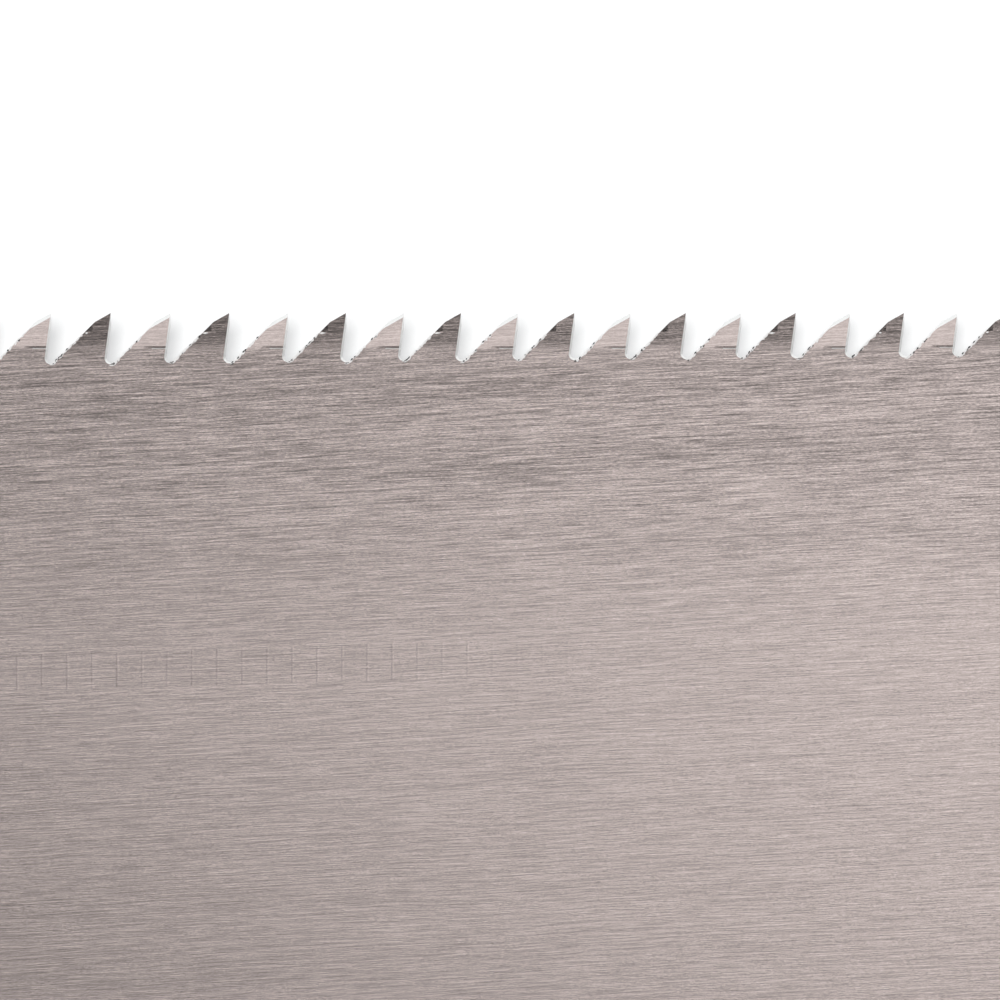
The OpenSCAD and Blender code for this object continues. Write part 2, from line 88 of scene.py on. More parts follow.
def tip_at(edge, i):
    """Distance of tip i from the toe along its edge."""
    fall = edge["fall"]
    if not fall:
        return edge["first"] * (i + 1)
    return edge["first"] / fall * (1 - (1 - fall) ** (i + 1))


def bevel_drop(edge):
    """Height of the bevel at the point of a tooth."""
    return edge["point"] * math.tan(math.radians(edge["bevel"]))


def gullet(edge, i, point):
    """Middle of the round bottom behind tip i, as (along, depth), measured from that tip."""
    rake, back = math.radians(edge["rake"]), math.radians(edge["back"])
    pitch = tip_at(edge, i + 1) - tip_at(edge, i)
    drop = point * math.tan(math.radians(edge["bevel"]))
    meet = (pitch - point + drop / math.tan(back)) / (1 / math.tan(back) - math.tan(rake))
    reach = edge["round"] / math.sin((math.pi / 2 - rake - back) / 2)
    lean = (math.pi / 2 - rake + back) / 2
    return (-math.tan(rake) * meet + reach * math.cos(lean), meet - reach * math.sin(lean))


def bend_depth(edge, i):
    """Depth of the bend of tooth i, which stays above the round bottom behind it."""
    depth = gullet(edge, i, edge["point"])[1] - edge["round"] * math.sin(math.radians(edge["rake"]))
    return min(edge["bend"], 0.95 * depth)


def tooth_count(edge):
    count = 0
    while tip_at(edge, count + 1) <= tooth_len / math.cos(taper) - 1:
        count += 1
    return count


def place(edge, along, depth):
    """A point of an edge in the saw's frame, in millimetres, from its place along the edge."""
    c, s = math.cos(taper), math.sin(taper)
    return (toe_x + along * c - depth * s, edge["side"] * (toe_w / 2 - along * s - depth * c))


def face_insets(edge, bent_up, upper):
    """How far point and back of a tooth are filed in on one face, and its front stands out."""
    point, back = edge["filed"] if upper != bent_up else (0.0, 0.0)
    return point, back, 0.0 if upper else edge["flare"]


def bent_by(edge, bent_up, depth):
    """How far a tooth stands out of the sheet at this depth."""
    left = max(0.0, 1 - depth / edge["bend"])
    return tooth_set * left ** 1.15 if bent_up else -tooth_set * left


def tooth_outline(edge, bent_up, upper):
    """Rows of a tooth's face from its tip to the bend, as (depth, back end, front end)."""
    rake, back, bevel = (math.radians(edge[k]) for k in ("rake", "back", "bevel"))
    in_point, in_back, flare = face_insets(edge, bent_up, upper)
    front_dir, back_dir = Vector((-math.tan(rake), 1)), Vector((-1 / math.tan(back), 1))
    bevel_dir = Vector((-math.cos(bevel), math.sin(bevel)))
    back_at = Vector((in_back / math.sin(back) - edge["point"], bevel_drop(edge)))
    bevel_at = Vector((0, in_point / math.cos(bevel)))
    flared = 0.7

    def front_u(depth):
        return front_dir.x * depth + flare * min(1.0, depth / flared)

    def where_bevel_meets(at, way):
        scale = bevel_dir.x * way.y - bevel_dir.y * way.x
        return bevel_at + bevel_dir * (((at - bevel_at).x * way.y - (at - bevel_at).y * way.x) / scale)

    tip = where_bevel_meets(Vector((0, 0)), front_dir)
    knee = where_bevel_meets(back_at, back_dir)
    rows = [(tip.y, tip.x, tip.x)]
    for share in (0.35, 0.7, 1.0):
        at = tip.lerp(knee, share)
        rows.append((at.y, at.x, front_u(at.y)))
    for share in (0.13, 0.26, 0.36, 0.41, 0.5, 0.62, 0.74, 0.86, 0.95, 1.0):
        depth = knee.y + (edge["bend"] - knee.y) * share
        rows.append((depth, back_at.x + back_dir.x * (depth - back_at.y), front_u(depth)))
    return rows


def tooth_mesh(name, edge, bent_up):
    """One bent tooth point, with its tip at the origin and its foot on the line of the bend.

    A tooth bent down has a crease from the setting punch along the front half of its bend. One
    bent up has its corner dressed with a stone, a small flat that ends a little way down the back.
    """
    wide, stoned, knee_row = edge["across"], edge["stoned"], 3
    crease, slant, third, flat_wide, flat_least = 0.05, 0.12, 3, 0.12, 0.06
    bm = bmesh.new()
    faces = {}
    for upper in (True, False):
        rows = tooth_outline(edge, bent_up, upper)
        knee = rows[knee_row]
        grid = []
        for number, (depth, back_u, front_u) in enumerate(rows):
            level = bent_by(edge, bent_up, depth) + (half_t if upper else -half_t)
            flat = upper and bent_up and stoned and number and depth < knee[0] + stoned + 0.01
            creased = not bent_up and upper and edge is rip and number == len(rows) - 2
            corner = max(knee[1] - flat_wide, back_u + flat_least)
            line = []
            for k in range(1 if number == 0 else wide + 1):
                share = k / wide
                u = back_u + (front_u - back_u) * share
                if flat and k <= third:
                    u = back_u + (corner - back_u) * k / third
                elif flat:
                    u = corner + (front_u - corner) * (k - third) / (wide - third)
                z = level
                if flat and number > knee_row:
                    z -= slant * max(0.0, corner - u) * (1 + 0.4 * (depth - knee[0]))
                if creased:
                    z -= crease * min(1.0, max(0.0, (share - 0.3) / 0.4))
                line.append((u, -edge["side"] * depth, z))
            grid.append(add_ring(bm, line))
        faces[upper] = grid
        for a, b in zip(grid, grid[1:]):
            for k in range(wide):
                bm.faces.new((a[0], b[k], b[k + 1]) if len(a) == 1 else (a[k], b[k], b[k + 1], a[k + 1]))
    for a, b, c, d in zip(faces[True], faces[True][1:], faces[False], faces[False][1:]):
        for k in (0, -1):
            bm.faces.new((a[k], b[k], d[k], c[k]))
    return to_mesh(bm, name)


def to_mesh(bm, name, steels=()):
    """Ends the building of a mesh, and names it."""
    mesh = bpy.data.meshes.new(name)
    for steel in steels:
        mesh.materials.append(steel)
    bm.to_mesh(mesh)
    bm.free()
    return mesh


def add_ring(bm, points):
    """New points of a mesh, given in millimetres."""
    return [bm.verts.new(Vector(p) * MM) for p in points]


def edge_line(edge, upper):
    """The whole line of an edge on one face, from toe to heel, as (point, has a wall after it)."""
    rng = random.Random(7)
    rake, back = math.radians(edge["rake"]), math.radians(edge["back"])
    count = tooth_count(edge)
    shrink = [bend_depth(edge, i) / edge["bend"] for i in range(count)] + [1.0]
    ragged, ragged_low = 0.045, 0.02
    line = [((toe_x, edge["side"] * (toe_w / 2 - toe_drop)), True)]

    def add(along, depth, wall=True):
        line.append((place(edge, along, depth), wall))

    def add_back(i, depth):
        """The point at this depth on the back of tooth i."""
        add(tip_at(edge, i) - edge["point"] - (depth - bevel_drop(edge)) / math.tan(back), depth)

    add_back(0, 0.9 * gullet(edge, 0, edge["point"])[1])
    for i in range(count):
        tip, size, next_size, bent_up = tip_at(edge, i), shrink[i], shrink[i + 1], i % 2 == 1
        foot, back_u, front_u = tooth_outline(edge, bent_up, upper)[-1]
        for k in range(edge["across"] + 1):
            u = (back_u + (front_u - back_u) * k / edge["across"]) * size
            add(tip + u, foot * size, k == edge["across"])
        mid = gullet(edge, i, edge["point"] * next_size)
        in_front = -face_insets(edge, bent_up, upper)[2] * size
        in_back = face_insets(edge, not bent_up, upper)[1] * next_size
        for k in range(edge["arc"] + 1):
            share = k / edge["arc"]
            angle = math.pi - rake + (math.pi / 2 + back + rake) * share
            r = edge["round"] + in_front + (in_back - in_front) * share
            u, depth = mid[0] + r * math.cos(angle), mid[1] - r * math.sin(angle)
            add(tip + u, depth)
        if edge is rip and i + 1 < count:
            low = Vector((u, depth))
            up = low + (depth - edge["bend"] * next_size) * Vector((1 / math.tan(back), -1))
            for k in range(1, 6):
                aside = rng.uniform(0, ragged) if upper else rng.uniform(-ragged_low, ragged_low)
                at = low.lerp(up, k / 6) + Vector((0, aside))
                add(tip + at.x, at.y)
    add_back(count, heel_drop)
    line.append(((heel_x, edge["side"] * (heel_w / 2 - heel_drop)), True))
    return line


def arc_points(x, y, r, start, end, steps):
    angles = np.radians(np.linspace(start, end, steps + 1))
    return [(x + r * math.cos(a), y + r * math.sin(a)) for a in angles]


def tang_line():
    """Shoulders and tang from the ripping edge round to the other, with hook slot and notch."""
    half, slot, notch, swing = 9.5, 2.55, 2.75, 19.0
    shoulder_x, shoulder_r = -56, 24.0
    outer = math.degrees(math.asin(half / (swing + notch)))
    inner = math.degrees(math.asin(half / (swing - notch)))
    mouth = math.degrees(math.asin(slot / half))
    return (
        arc_points(shoulder_x, half + shoulder_r, shoulder_r, 178, 270, 24)
        + arc_points(hook_x, 0, swing + notch, 180 - outer, 180, 10)
        + arc_points(screw_x, 0, notch, 180, 360, 16)[1:]
        + arc_points(hook_x, 0, swing - notch, 180, 180 - inner, 12)[1:]
        + arc_points(hook_x, 0, half, 90, mouth, 12)
        + arc_points(hook_x, 0, slot, 90, 270, 16)
        + arc_points(hook_x, 0, half, -mouth, -90, 12)
        + arc_points(shoulder_x, -half - shoulder_r, shoulder_r, 90, 182, 24)
    )


def fill(bm, loops, keep, verts=None, z=0.0, near=1e-6):
    """Flat triangles between closed loops of points, where keep says so of their middles."""
    borders, start = [], 0
    for loop in loops:
        borders += [(start + k, start + (k + 1) % len(loop)) for k in range(len(loop))]
        start += len(loop)
    co, _, tris, *_ = delaunay_2d_cdt([Vector(p) for loop in loops for p in loop], borders, [], 1, near)
    verts = verts or add_ring(bm, [(*p, z) for p in co])
    for t in tris:
        if keep(sum((co[k] for k in t), Vector((0, 0))) / 3):
            bm.faces.new([verts[k] for k in t])


def plate_mesh():
    """The sheet without its bent points: two flat faces and every wall between them."""
    toe_r = ((toe_w / 2 - toe_drop) ** 2 + toe_bow ** 2) / (2 * toe_bow)
    sweep = math.degrees(math.asin((toe_w / 2 - toe_drop) / toe_r))
    hole = arc_points(hang_x, 0, hang_r, 0, 360, hang_steps)[:-1]
    inner_r = hang_r * math.cos(math.pi / hang_steps) - 0.003
    bm = bmesh.new()
    rings = []
    for upper in (True, False):
        z = blade_z + (half_t if upper else -half_t)
        other = edge_line(cross, upper)
        line = edge_line(rip, upper) + [(p, True) for p in tang_line()]
        line += [(other[k][0], other[k - 1][1]) for k in range(len(other) - 1, 0, -1)] + [(other[0][0], True)]
        toe = arc_points(toe_x - toe_bow + toe_r, 0, toe_r, 180 + sweep, 180 - sweep, 60)[1:-1]
        line += [(p, True) for p in toe]
        fill(bm, ([p for p, wall in line], hole), lambda mid: (mid - Vector((hang_x, 0))).length > inner_r,
             z=z, near=1e-5)
        rings.append((line, [(p, True) for p in hole], z))
    for part in (0, 1):
        (near, far), (z1, z2) = [r[part] for r in rings], [r[2] for r in rings]
        top, low = add_ring(bm, [(*p, z1) for p, w in near]), add_ring(bm, [(*p, z2) for p, w in far])
        for k in range(len(near)):
            if near[k][1]:
                j = (k + 1) % len(near)
                bm.faces.new((top[k], top[j], low[j], low[k]))
    bmesh.ops.remove_doubles(bm, verts=bm.verts, dist=merge_gap * MM)
    return to_mesh(bm, "blade_plate")


# Blade, its finish
# Ground along its length on a wide belt, which leaves long, slightly wavy scratches in the
# warm grey steel. The same tree, with other sizes and colours, serves the other steel parts.
def set_inputs(tree, node, inputs):
    """Gives each input a value or a link from another node."""
    for key, value in inputs.items():
        if isinstance(value, bpy.types.NodeSocket):
            tree.links.new(value, node.inputs[key])
        else:
            node.inputs[key].default_value = value


def add_node(tree, kind, inputs=None, **settings):
    node = tree.nodes.new(kind)
    for key, value in settings.items():
        setattr(node, key, value)
    set_inputs(tree, node, inputs or {})
    return node


class Finish:
    """A material, with short ways to add to its tree that give the output of the new node."""

    def __init__(self, name):
        self.material = bpy.data.materials.new(name)
        self.material.use_nodes = True
        self.tree = self.material.node_tree

    def node(self, kind, inputs=None, **settings):
        return add_node(self.tree, "ShaderNode" + kind, inputs, **settings)

    def where(self):
        return self.node("TexCoord").outputs["Object"]

    def calc(self, kind, *values):
        return self.node("Math", dict(enumerate(values)), operation=kind).outputs[0]

    def fit(self, value, low, high, to_low=0.0, to_high=1.0, smooth=False):
        inputs = {"Value": value, "From Min": low, "From Max": high, "To Min": to_low, "To Max": to_high}
        way = "SMOOTHSTEP" if smooth else "LINEAR"
        return self.node("MapRange", inputs, interpolation_type=way).outputs["Result"]

    def noise(self, scale, detail, source, rough=0.5, output="Fac"):
        at = self.node("Mapping", {"Scale": scale, "Vector": source}).outputs["Vector"]
        inputs = {"Scale": 1, "Detail": detail, "Roughness": rough, "Vector": at}
        return self.node("TexNoise", inputs).outputs[output]

    def mix(self, factor, a, b, **settings):
        inputs = {"Factor": factor, "A": a, "B": b}
        return self.node("Mix", inputs, data_type="RGBA", **settings).outputs["Result"]

    def ramp(self, value, *stops):
        node = self.node("ValToRGB", {"Fac": value})
        elements = node.color_ramp.elements
        for number, (position, color) in enumerate(stops):
            stop = elements[number] if number < 2 else elements.new(position)
            stop.position, stop.color = position, (*color, 1)
        return node.outputs["Color"]

    def end(self, height, distance, color, rough, **more):
        """Gives the shader its colour, roughness and bump, and returns the material."""
        normal = self.node("Bump", {"Height": height, "Distance": distance}).outputs["Normal"]
        inputs = {"Base Color": color, "Roughness": rough, "Normal": normal}
        inputs.update({key.replace("_", " "): value for key, value in more.items()})
        set_inputs(self.tree, self.tree.nodes["Principled BSDF"], inputs)
        return self.material


def ground_steel(name, color, streak, spread, shine, groove, tapered=False):
    """Steel with fine scratches along X: streak is (length, width) in metres."""
    look = Finish(name)
    calc, fit, where = look.calc, look.fit, look.where()
    warp, harsh = 0.00022, 0.68
    wander = look.noise((1 / 0.011, 1 / 0.006, 1 / 0.006), 1, where, harsh)
    aside = look.node("CombineXYZ", {"Y": calc("MULTIPLY_ADD", wander, warp, -warp / 2)}).outputs["Vector"]
    bent = look.node("VectorMath", {0: aside, 1: where}, operation="ADD").outputs["Vector"]

    def streaks(longer, wider, detail):
        length, width = streak[0] * longer, streak[1] * wider
        return look.noise((1 / length, 1 / width, 1 / width), detail, bent, harsh)

    fine, middle, broad, grit = streaks(1, 1, 4), streaks(3.4, 2.6, 2), streaks(25, 60, 1), streaks(0.12, 0.8, 2)
    total = calc("MULTIPLY_ADD", middle, 0.45, fine)
    tone = calc("MULTIPLY_ADD", broad, 0.10, calc("MULTIPLY_ADD", grit, 0.6, total))
    tone = fit(tone, 0.87, 1.29, -spread, spread)
    if tapered:
        # Depth below the line of the tips: the belt bites deepest beside the teeth. The points are
        # painted lighter than the sheet, and the sheet paler towards the middle of the blade, both painted
        # light; a tooth bent up is painted darker, painted shade, and its scratches show with more contrast.
        at, lean = look.node("SeparateXYZ", {"Vector": where}).outputs, math.tan(taper)
        edge_y = calc("MULTIPLY_ADD", at["X"], -lean, (toe_w / 2 + toe_x * lean) * MM)
        depth = calc("SUBTRACT", edge_y, calc("ABSOLUTE", at["Y"]))

        def grows(start, end, low, high):
            return fit(depth, start * MM, end * MM, low, high, smooth=True)

        rise = calc("ABSOLUTE", calc("SUBTRACT", at["Z"], blade_z * MM))
        raised = fit(rise, (half_t + 0.005) * MM, (half_t + 0.03) * MM, 1.0, 3.6, smooth=True)
        bite = calc("MULTIPLY", calc("MULTIPLY", grows(1.9, 2.3, 0.33, 1.0), grows(5, 21, 1.0, 0.36)), raised)
        shade = calc("MULTIPLY_ADD", tone, bite, 1)
        # Painted light and shade: the points lighter than the sheet, a tooth bent up darker, the sheet paler towards
        # the middle.
        for part in (grows(1.8, 2.3, 1.0, 0.84), calc("MULTIPLY_ADD", raised, -0.1, 1.1), grows(2, 23, 0.88, 1.205)):
            shade = calc("MULTIPLY", shade, part)
        # The feed roller of the setting machine leaves a row of faint lines across the grind, which
        # fades out halfway along the blade; each line is painted shade with a strip of painted light beside it.
        step, start, half_long, half_wide = 1.45, -228.48, 1.05, 0.032
        row_lean, row_at, fades_from, gone_at, strength = -0.0236, 16.74, -206, -189, 0.11
        across = calc("MULTIPLY_ADD", at["Y"], -lean, at["X"])
        beat = calc("FRACT", calc("MULTIPLY_ADD", across, 1000 / step, 0.5 - start / step))
        light, dark = (calc("COMPARE", beat, middle_at, half_wide) for middle_at in (0.564, 0.5))
        # The lit and shaded sides of each roller line, as painted light and painted shade.
        painted_relief_shading = calc("SUBTRACT", calc("MULTIPLY", light, 0.6), dark)
        row_y = calc("MULTIPLY_ADD", at["X"], row_lean, row_at * MM)
        in_row = calc("COMPARE", at["Y"], row_y, half_long * MM)
        faint = calc("MULTIPLY", fit(at["X"], fades_from * MM, gone_at * MM, strength, 0.0), in_row)
        shade = calc("MULTIPLY", shade, calc("MULTIPLY_ADD", painted_relief_shading, faint, 1))
    else:
        shade = calc("ADD", tone, 1)
    tinted = look.mix(1, (*color, 1), shade, blend_type="MULTIPLY")
    rough = calc("MULTIPLY_ADD", middle, 0.16, shine - 0.08)
    return look.end(total, groove, tinted, rough, Metallic=1)


blade_steel = ground_steel("ground_blade_steel", (0.60, 0.516, 0.493), (0.0019, 0.00004), 0.72, 0.14, 0.000009,
                           tapered=True)
# The burr is drawn in two copies of one steel: a near-white copy that is painted highlight, and a near-black copy
# that is painted shadow.
painted_highlight_burr, painted_shadow_burr, filed_steel = (
    ground_steel(name, color, (0.0004, 0.0001), 0.05, shine, 0.000002) for name, color, shine in (
        ("bright_burr_steel", (0.97, 0.96, 0.95), 0.3), ("dark_burr_steel", (0.10, 0.09, 0.09), 0.4),
        ("filed_tooth_steel", (0.81, 0.81, 0.80), 0.35)))


# Blade, put together
# The points stand in two rows on the lines of the bends, one bent up, the next bent down, and
# are welded to the sheet into one closed piece, with the burr of the file along the upper face,
# its curls coloured with painted highlight and painted shadow.
def new_tree(name, sockets):
    """An empty geometry tree with named inputs, and what its input node gives."""
    tree = bpy.data.node_groups.new(name, "GeometryNodeTree")
    tree.interface.new_socket("Geometry", in_out="OUTPUT", socket_type="NodeSocketGeometry")
    for label, kind in {"Geometry": "Geometry", **sockets}.items():
        tree.interface.new_socket(label, in_out="INPUT", socket_type="NodeSocket" + kind)
    return tree, tree.nodes.new("NodeGroupInput").outputs


def read(tree, name, kind="FLOAT_VECTOR"):
    """An attribute of the points."""
    return add_node(tree, "GeometryNodeInputNamedAttribute", {"Name": name}, data_type=kind).outputs["Attribute"]


def set_on_points(tree, given, label, **inputs):
    """The object given under this label, once on each point of the host."""
    shape = add_node(tree, "GeometryNodeObjectInfo", {"Object": given[label]}).outputs["Geometry"]
    inputs = {"Points": given["Geometry"], "Instance": shape, **inputs}
    return add_node(tree, "GeometryNodeInstanceOnPoints", inputs).outputs["Instances"]


def end_tree(tree, geometry, material):
    real = add_node(tree, "GeometryNodeRealizeInstances", {"Geometry": geometry}).outputs["Geometry"]
    made = add_node(tree, "GeometryNodeSetMaterial", {"Geometry": real, "Material": material})
    add_node(tree, "NodeGroupOutput", {"Geometry": made.outputs["Geometry"]})
    return tree


def data_mesh(name, points, edges=(), faces=(), **stored):
    """A mesh from its points in millimetres, with the numbers or directions stored at them."""
    mesh = bpy.data.meshes.new(name)
    mesh.from_pydata([Vector(p) * MM for p in points], edges, faces)
    for label, values in stored.items():
        if isinstance(values[0], (int, float)):
            mesh.attributes.new(label, "FLOAT", "POINT").data.foreach_set("value", values)
        else:
            flat = [c for v in values for c in v]
            mesh.attributes.new(label, "FLOAT_VECTOR", "POINT").data.foreach_set("vector", flat)
    return mesh


def applied(host):
    """The plain mesh of an object with its modifiers."""
    bpy.context.view_layer.update()
    graph = bpy.context.evaluated_depsgraph_get()
    return bpy.data.meshes.new_from_object(host.evaluated_get(graph))


def grow(seats, tree, values):
    """The plain mesh that the tree makes of a mesh, with these values for its named inputs."""
    host = put_in_scene(seats.name + "_host", seats)
    helpers = [host]
    modifier = host.modifiers.new(tree.name, "NODES")
    modifier.node_group = tree
    for item in tree.interface.items_tree:
        if item.item_type == "SOCKET" and item.in_out == "INPUT" and item.name in values:
            value = values[item.name]
            if isinstance(value, bpy.types.Mesh):
                value = put_in_scene(value.name + "_shape", value)
                helpers.append(value)
            modifier[item.identifier] = value
    mesh = applied(host)
    host.modifiers.remove(modifier)
    for helper in helpers:
        bpy.data.objects.remove(helper)
    return mesh


def set_teeth_tree():
    tree, given = new_tree("row_of_set_teeth", {
        "Tooth bent down": "Object", "Tooth bent up": "Object", "Turn": "Float", "Steel": "Material"})
    size = read(tree, "size", "FLOAT")
    scale = add_node(tree, "ShaderNodeCombineXYZ", {"X": size, "Y": size, "Z": 1}).outputs["Vector"]
    turn = add_node(tree, "ShaderNodeCombineXYZ", {"Z": given["Turn"]}).outputs["Vector"]
    number = tree.nodes.new("GeometryNodeInputIndex").outputs["Index"]
    odd = add_node(tree, "ShaderNodeMath", {0: number, 1: 2}, operation="MODULO").outputs[0]
    join = tree.nodes.new("GeometryNodeJoinGeometry")
    for rest, label in enumerate(("Tooth bent down", "Tooth bent up")):
        same = add_node(tree, "FunctionNodeCompare", {"A": odd, "B": rest}, operation="EQUAL").outputs["Result"]
        teeth = set_on_points(tree, given, label, Selection=same, Rotation=turn, Scale=scale)
        tree.links.new(teeth, join.inputs["Geometry"])
    return end_tree(tree, join.outputs["Geometry"], given["Steel"])


def burr_tree():
    tree, given = new_tree("burr_left_by_the_file", {
        "Flake": "Object", "Shortest": "Float", "Longest": "Float", "Seed": "Int", "Steel": "Material"})
    length = add_node(tree, "FunctionNodeRandomValue",
                      {2: given["Shortest"], 3: given["Longest"], "Seed": given["Seed"]})
    scale = add_node(tree, "ShaderNodeCombineXYZ", {"X": length.outputs[1], "Y": 1, "Z": 1}).outputs["Vector"]
    flakes = set_on_points(tree, given, "Flake", Rotation=read(tree, "turn"), Scale=scale)
    return end_tree(tree, flakes, given["Steel"])


def burr_flakes(bright, seed):
    """Curls of steel the file left on the upper face, in the gullets and up the lower backs: the bright ones in a
    painted-highlight copy of the steel, the others in a painted-shadow copy.
    """
    rng = random.Random(seed)
    lean = math.radians(rip["back"])
    slope = Vector((math.cos(lean), -math.sin(lean)))
    count, top = tooth_count(rip), blade_z + half_t
    wobble, tilt, curl_in, sunk = 0.04, 0.12, 0.16, 0.006 if bright else 0.0
    spots, turns = [], []
    for i in range(count):
        size = bend_depth(rip, i + 1) / rip["bend"] if i + 1 < count else 1.0
        next_up = i % 2 == 0
        mid = Vector(gullet(rip, i, rip["point"] * size))
        run = (mid.y - bevel_drop(rip) * size) / -slope.y
        number = (36 if bright else 9) if next_up else (20 if bright else 6)
        for _ in range(number):
            share = rng.uniform(-0.22, 0.0) if rng.random() < 0.3 else 0.75 * rng.random() ** 1.5
            turn = lean * min(1.0, 1 + 4 * share)
            inward = Vector((math.sin(turn), math.cos(turn)))
            aside = rip["round"] + face_insets(rip, next_up, True)[1] + rng.uniform(-wobble, wobble)
            at = mid + inward * aside + slope * (run * max(0.0, share))
            level = top + bent_by(rip, next_up, at.y) - sunk
            spots.append((*place(rip, tip_at(rip, i) + at.x, at.y), level))
            turns.append((0, 0, turn - taper + rng.uniform(-tilt, tilt)))
        if bright and next_up and rng.random() < 0.7:
            # The stone leaves a curl of its own where its flat ends on the back.
            depth, back_u, _ = tooth_outline(rip, True, True)[7]
            at = place(rip, tip_at(rip, i + 1) + (back_u + curl_in) * size, depth * size)
            spots.append((*at, top + bent_by(rip, True, depth)))
            turns.append((0, 0, -taper))
    seats = data_mesh("burr_seats", spots, turn=turns)
    ridge = (0.05, -0.05 if bright else 0.01, 0.032)
    flake = data_mesh("burr_flake", ((-0.5, 0, 0), (0.5, 0.01, 0), (0.1, 0.05, 0), (0, -0.07, 0), ridge),
                      faces=[(0, 2, 1), (0, 1, 3), (0, 4, 2), (2, 4, 1), (1, 4, 3), (3, 4, 0)])
    mesh = grow(seats, burr_tree(), {"Flake": flake, "Shortest": 0.12, "Longest": 0.5 if bright else 0.28,
                                     "Seed": seed, "Steel": painted_highlight_burr if bright else painted_shadow_burr})
    mesh.polygons.foreach_set("material_index", [2 if bright else 3] * len(mesh.polygons))
    return mesh


def row_of_teeth(edge, tree):
    teeth = range(tooth_count(edge))
    seats = data_mesh("tooth_seats", [(*place(edge, tip_at(edge, i), 0), blade_z) for i in teeth],
                      size=[bend_depth(edge, i) / edge["bend"] for i in teeth])
    return grow(seats, tree, {
        "Tooth bent down": tooth_mesh("tooth_down", edge, False), "Tooth bent up": tooth_mesh("tooth_up", edge, True),
        "Turn": -edge["side"] * taper, "Steel": blade_steel})


def settle(bm, name, sharp, steels=()):
    """The finished mesh: closed, faces outwards, and hard where it turns by more than this angle."""
    bmesh.ops.remove_doubles(bm, verts=bm.verts, dist=merge_gap * MM)
    bmesh.ops.recalc_face_normals(bm, faces=bm.faces)
    for f in bm.faces:
        f.smooth = True
        if steels and f.material_index < 2:
            f.material_index = 1 if abs(f.normal.z) < 0.8 else 0
    for e in bm.edges:
        e.smooth = len(e.link_faces) == 2 and e.calc_face_angle(0) < math.radians(sharp)
    return to_mesh(bm, name, steels)


def new_piece(name, mesh, material, body, slot, *nodes):
    """Puts a finished mesh in the scene as a piece that rides on a body."""
    piece = put_in_scene(name, mesh)
    if not mesh.materials:
        mesh.materials.append(material)
    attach(piece, body)
    if nodes:
        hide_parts(*nodes)


teeth_tree = set_teeth_tree()
bm = bmesh.new()
bm.from_mesh(plate_mesh())
for edge in (rip, cross):
    bm.from_mesh(row_of_teeth(edge, teeth_tree))
bmesh.ops.remove_doubles(bm, verts=bm.verts, dist=merge_gap * MM)
bm.from_mesh(burr_flakes(True, 23))
bm.from_mesh(burr_flakes(False, 5))
blade_mesh = settle(bm, "two_edged_blade", 3.5, (blade_steel, filed_steel, painted_highlight_burr, painted_shadow_burr))
new_piece("two_edged_blade", blade_mesh, blade_steel, "swinging_blade", "blade_steel", "blade")


# Holder
# Two plates pressed from 1.2 mm steel and a 0.6 mm strip between them, ground along their
# length. The strip keeps the plates apart behind the tang, so that the blade can be slid in.
def circle_line(x, y, r, steps):
    return [(x + r * math.cos(a), y + r * math.sin(a)) for a in np.linspace(0, 2 * math.pi, steps, endpoint=False)]


def inset_line(line, by):
    """The same closed line moved to its left-hand side by a small distance."""
    moved = []
    for k, p in enumerate(line):
        a, p, b = Vector(line[k - 1]), Vector(p), Vector(line[(k + 1) % len(line)])
        d1, d2 = (p - a).normalized(), (b - p).normalized()
        n1, n2 = Vector((-d1.y, d1.x)), Vector((-d2.y, d2.x))
        n = (n1 + n2).normalized()
        moved.append(tuple(p + n * by / max(0.5, n.dot(n1))))
    return moved


def inside_line(point, line):
    """Whether a point lies inside a closed line."""
    inside = False
    for (x1, y1), (x2, y2) in zip(line, line[1:] + line[:1]):
        if (y1 > point.y) != (y2 > point.y) and point.x < x1 + (point.y - y1) / (y2 - y1) * (x2 - x1):
            inside = not inside
    return inside


def skin(bm, rings):
    """Faces between each ring of points and the next. A ring can be a single point."""
    for a, b in zip(rings, rings[1:]):
        steps = max(len(a), len(b))
        for k in range(steps):
            j = (k + 1) % steps
            corners = dict.fromkeys((a[k % len(a)], a[j % len(a)], b[j % len(b)], b[k % len(b)]))
            if len(corners) > 2:
                bm.faces.new(list(corners))


def pressed_sheet(name, outline, holes, low, high, edge):
    """Sheet metal with softened rims. The outline runs anticlockwise and the holes clockwise."""
    rim, turn = 1.6 * edge, 0.3 * edge
    levels = [(low, rim), (low, edge), (low + turn, turn), (low + edge, 0),
              (high - edge, 0), (high - turn, turn), (high, edge), (high, rim)]
    bm = bmesh.new()
    rims = []
    for line in [outline] + [list(reversed(h)) for h in holes]:
        rings = [add_ring(bm, [(*p, z) for p in inset_line(line, by)]) for z, by in levels]
        skin(bm, rings)
        rims.append((rings[0], rings[-1]))
    for side in (0, 1):
        lines = [[Vector((v.co.x, v.co.y)) / MM for v in rim[side]] for rim in rims]
        fill(bm, lines, lambda mid: not any(inside_line(mid, line) for line in lines[1:]),
             [v for rim in rims for v in rim[side]])
    return settle(bm, name, 50)


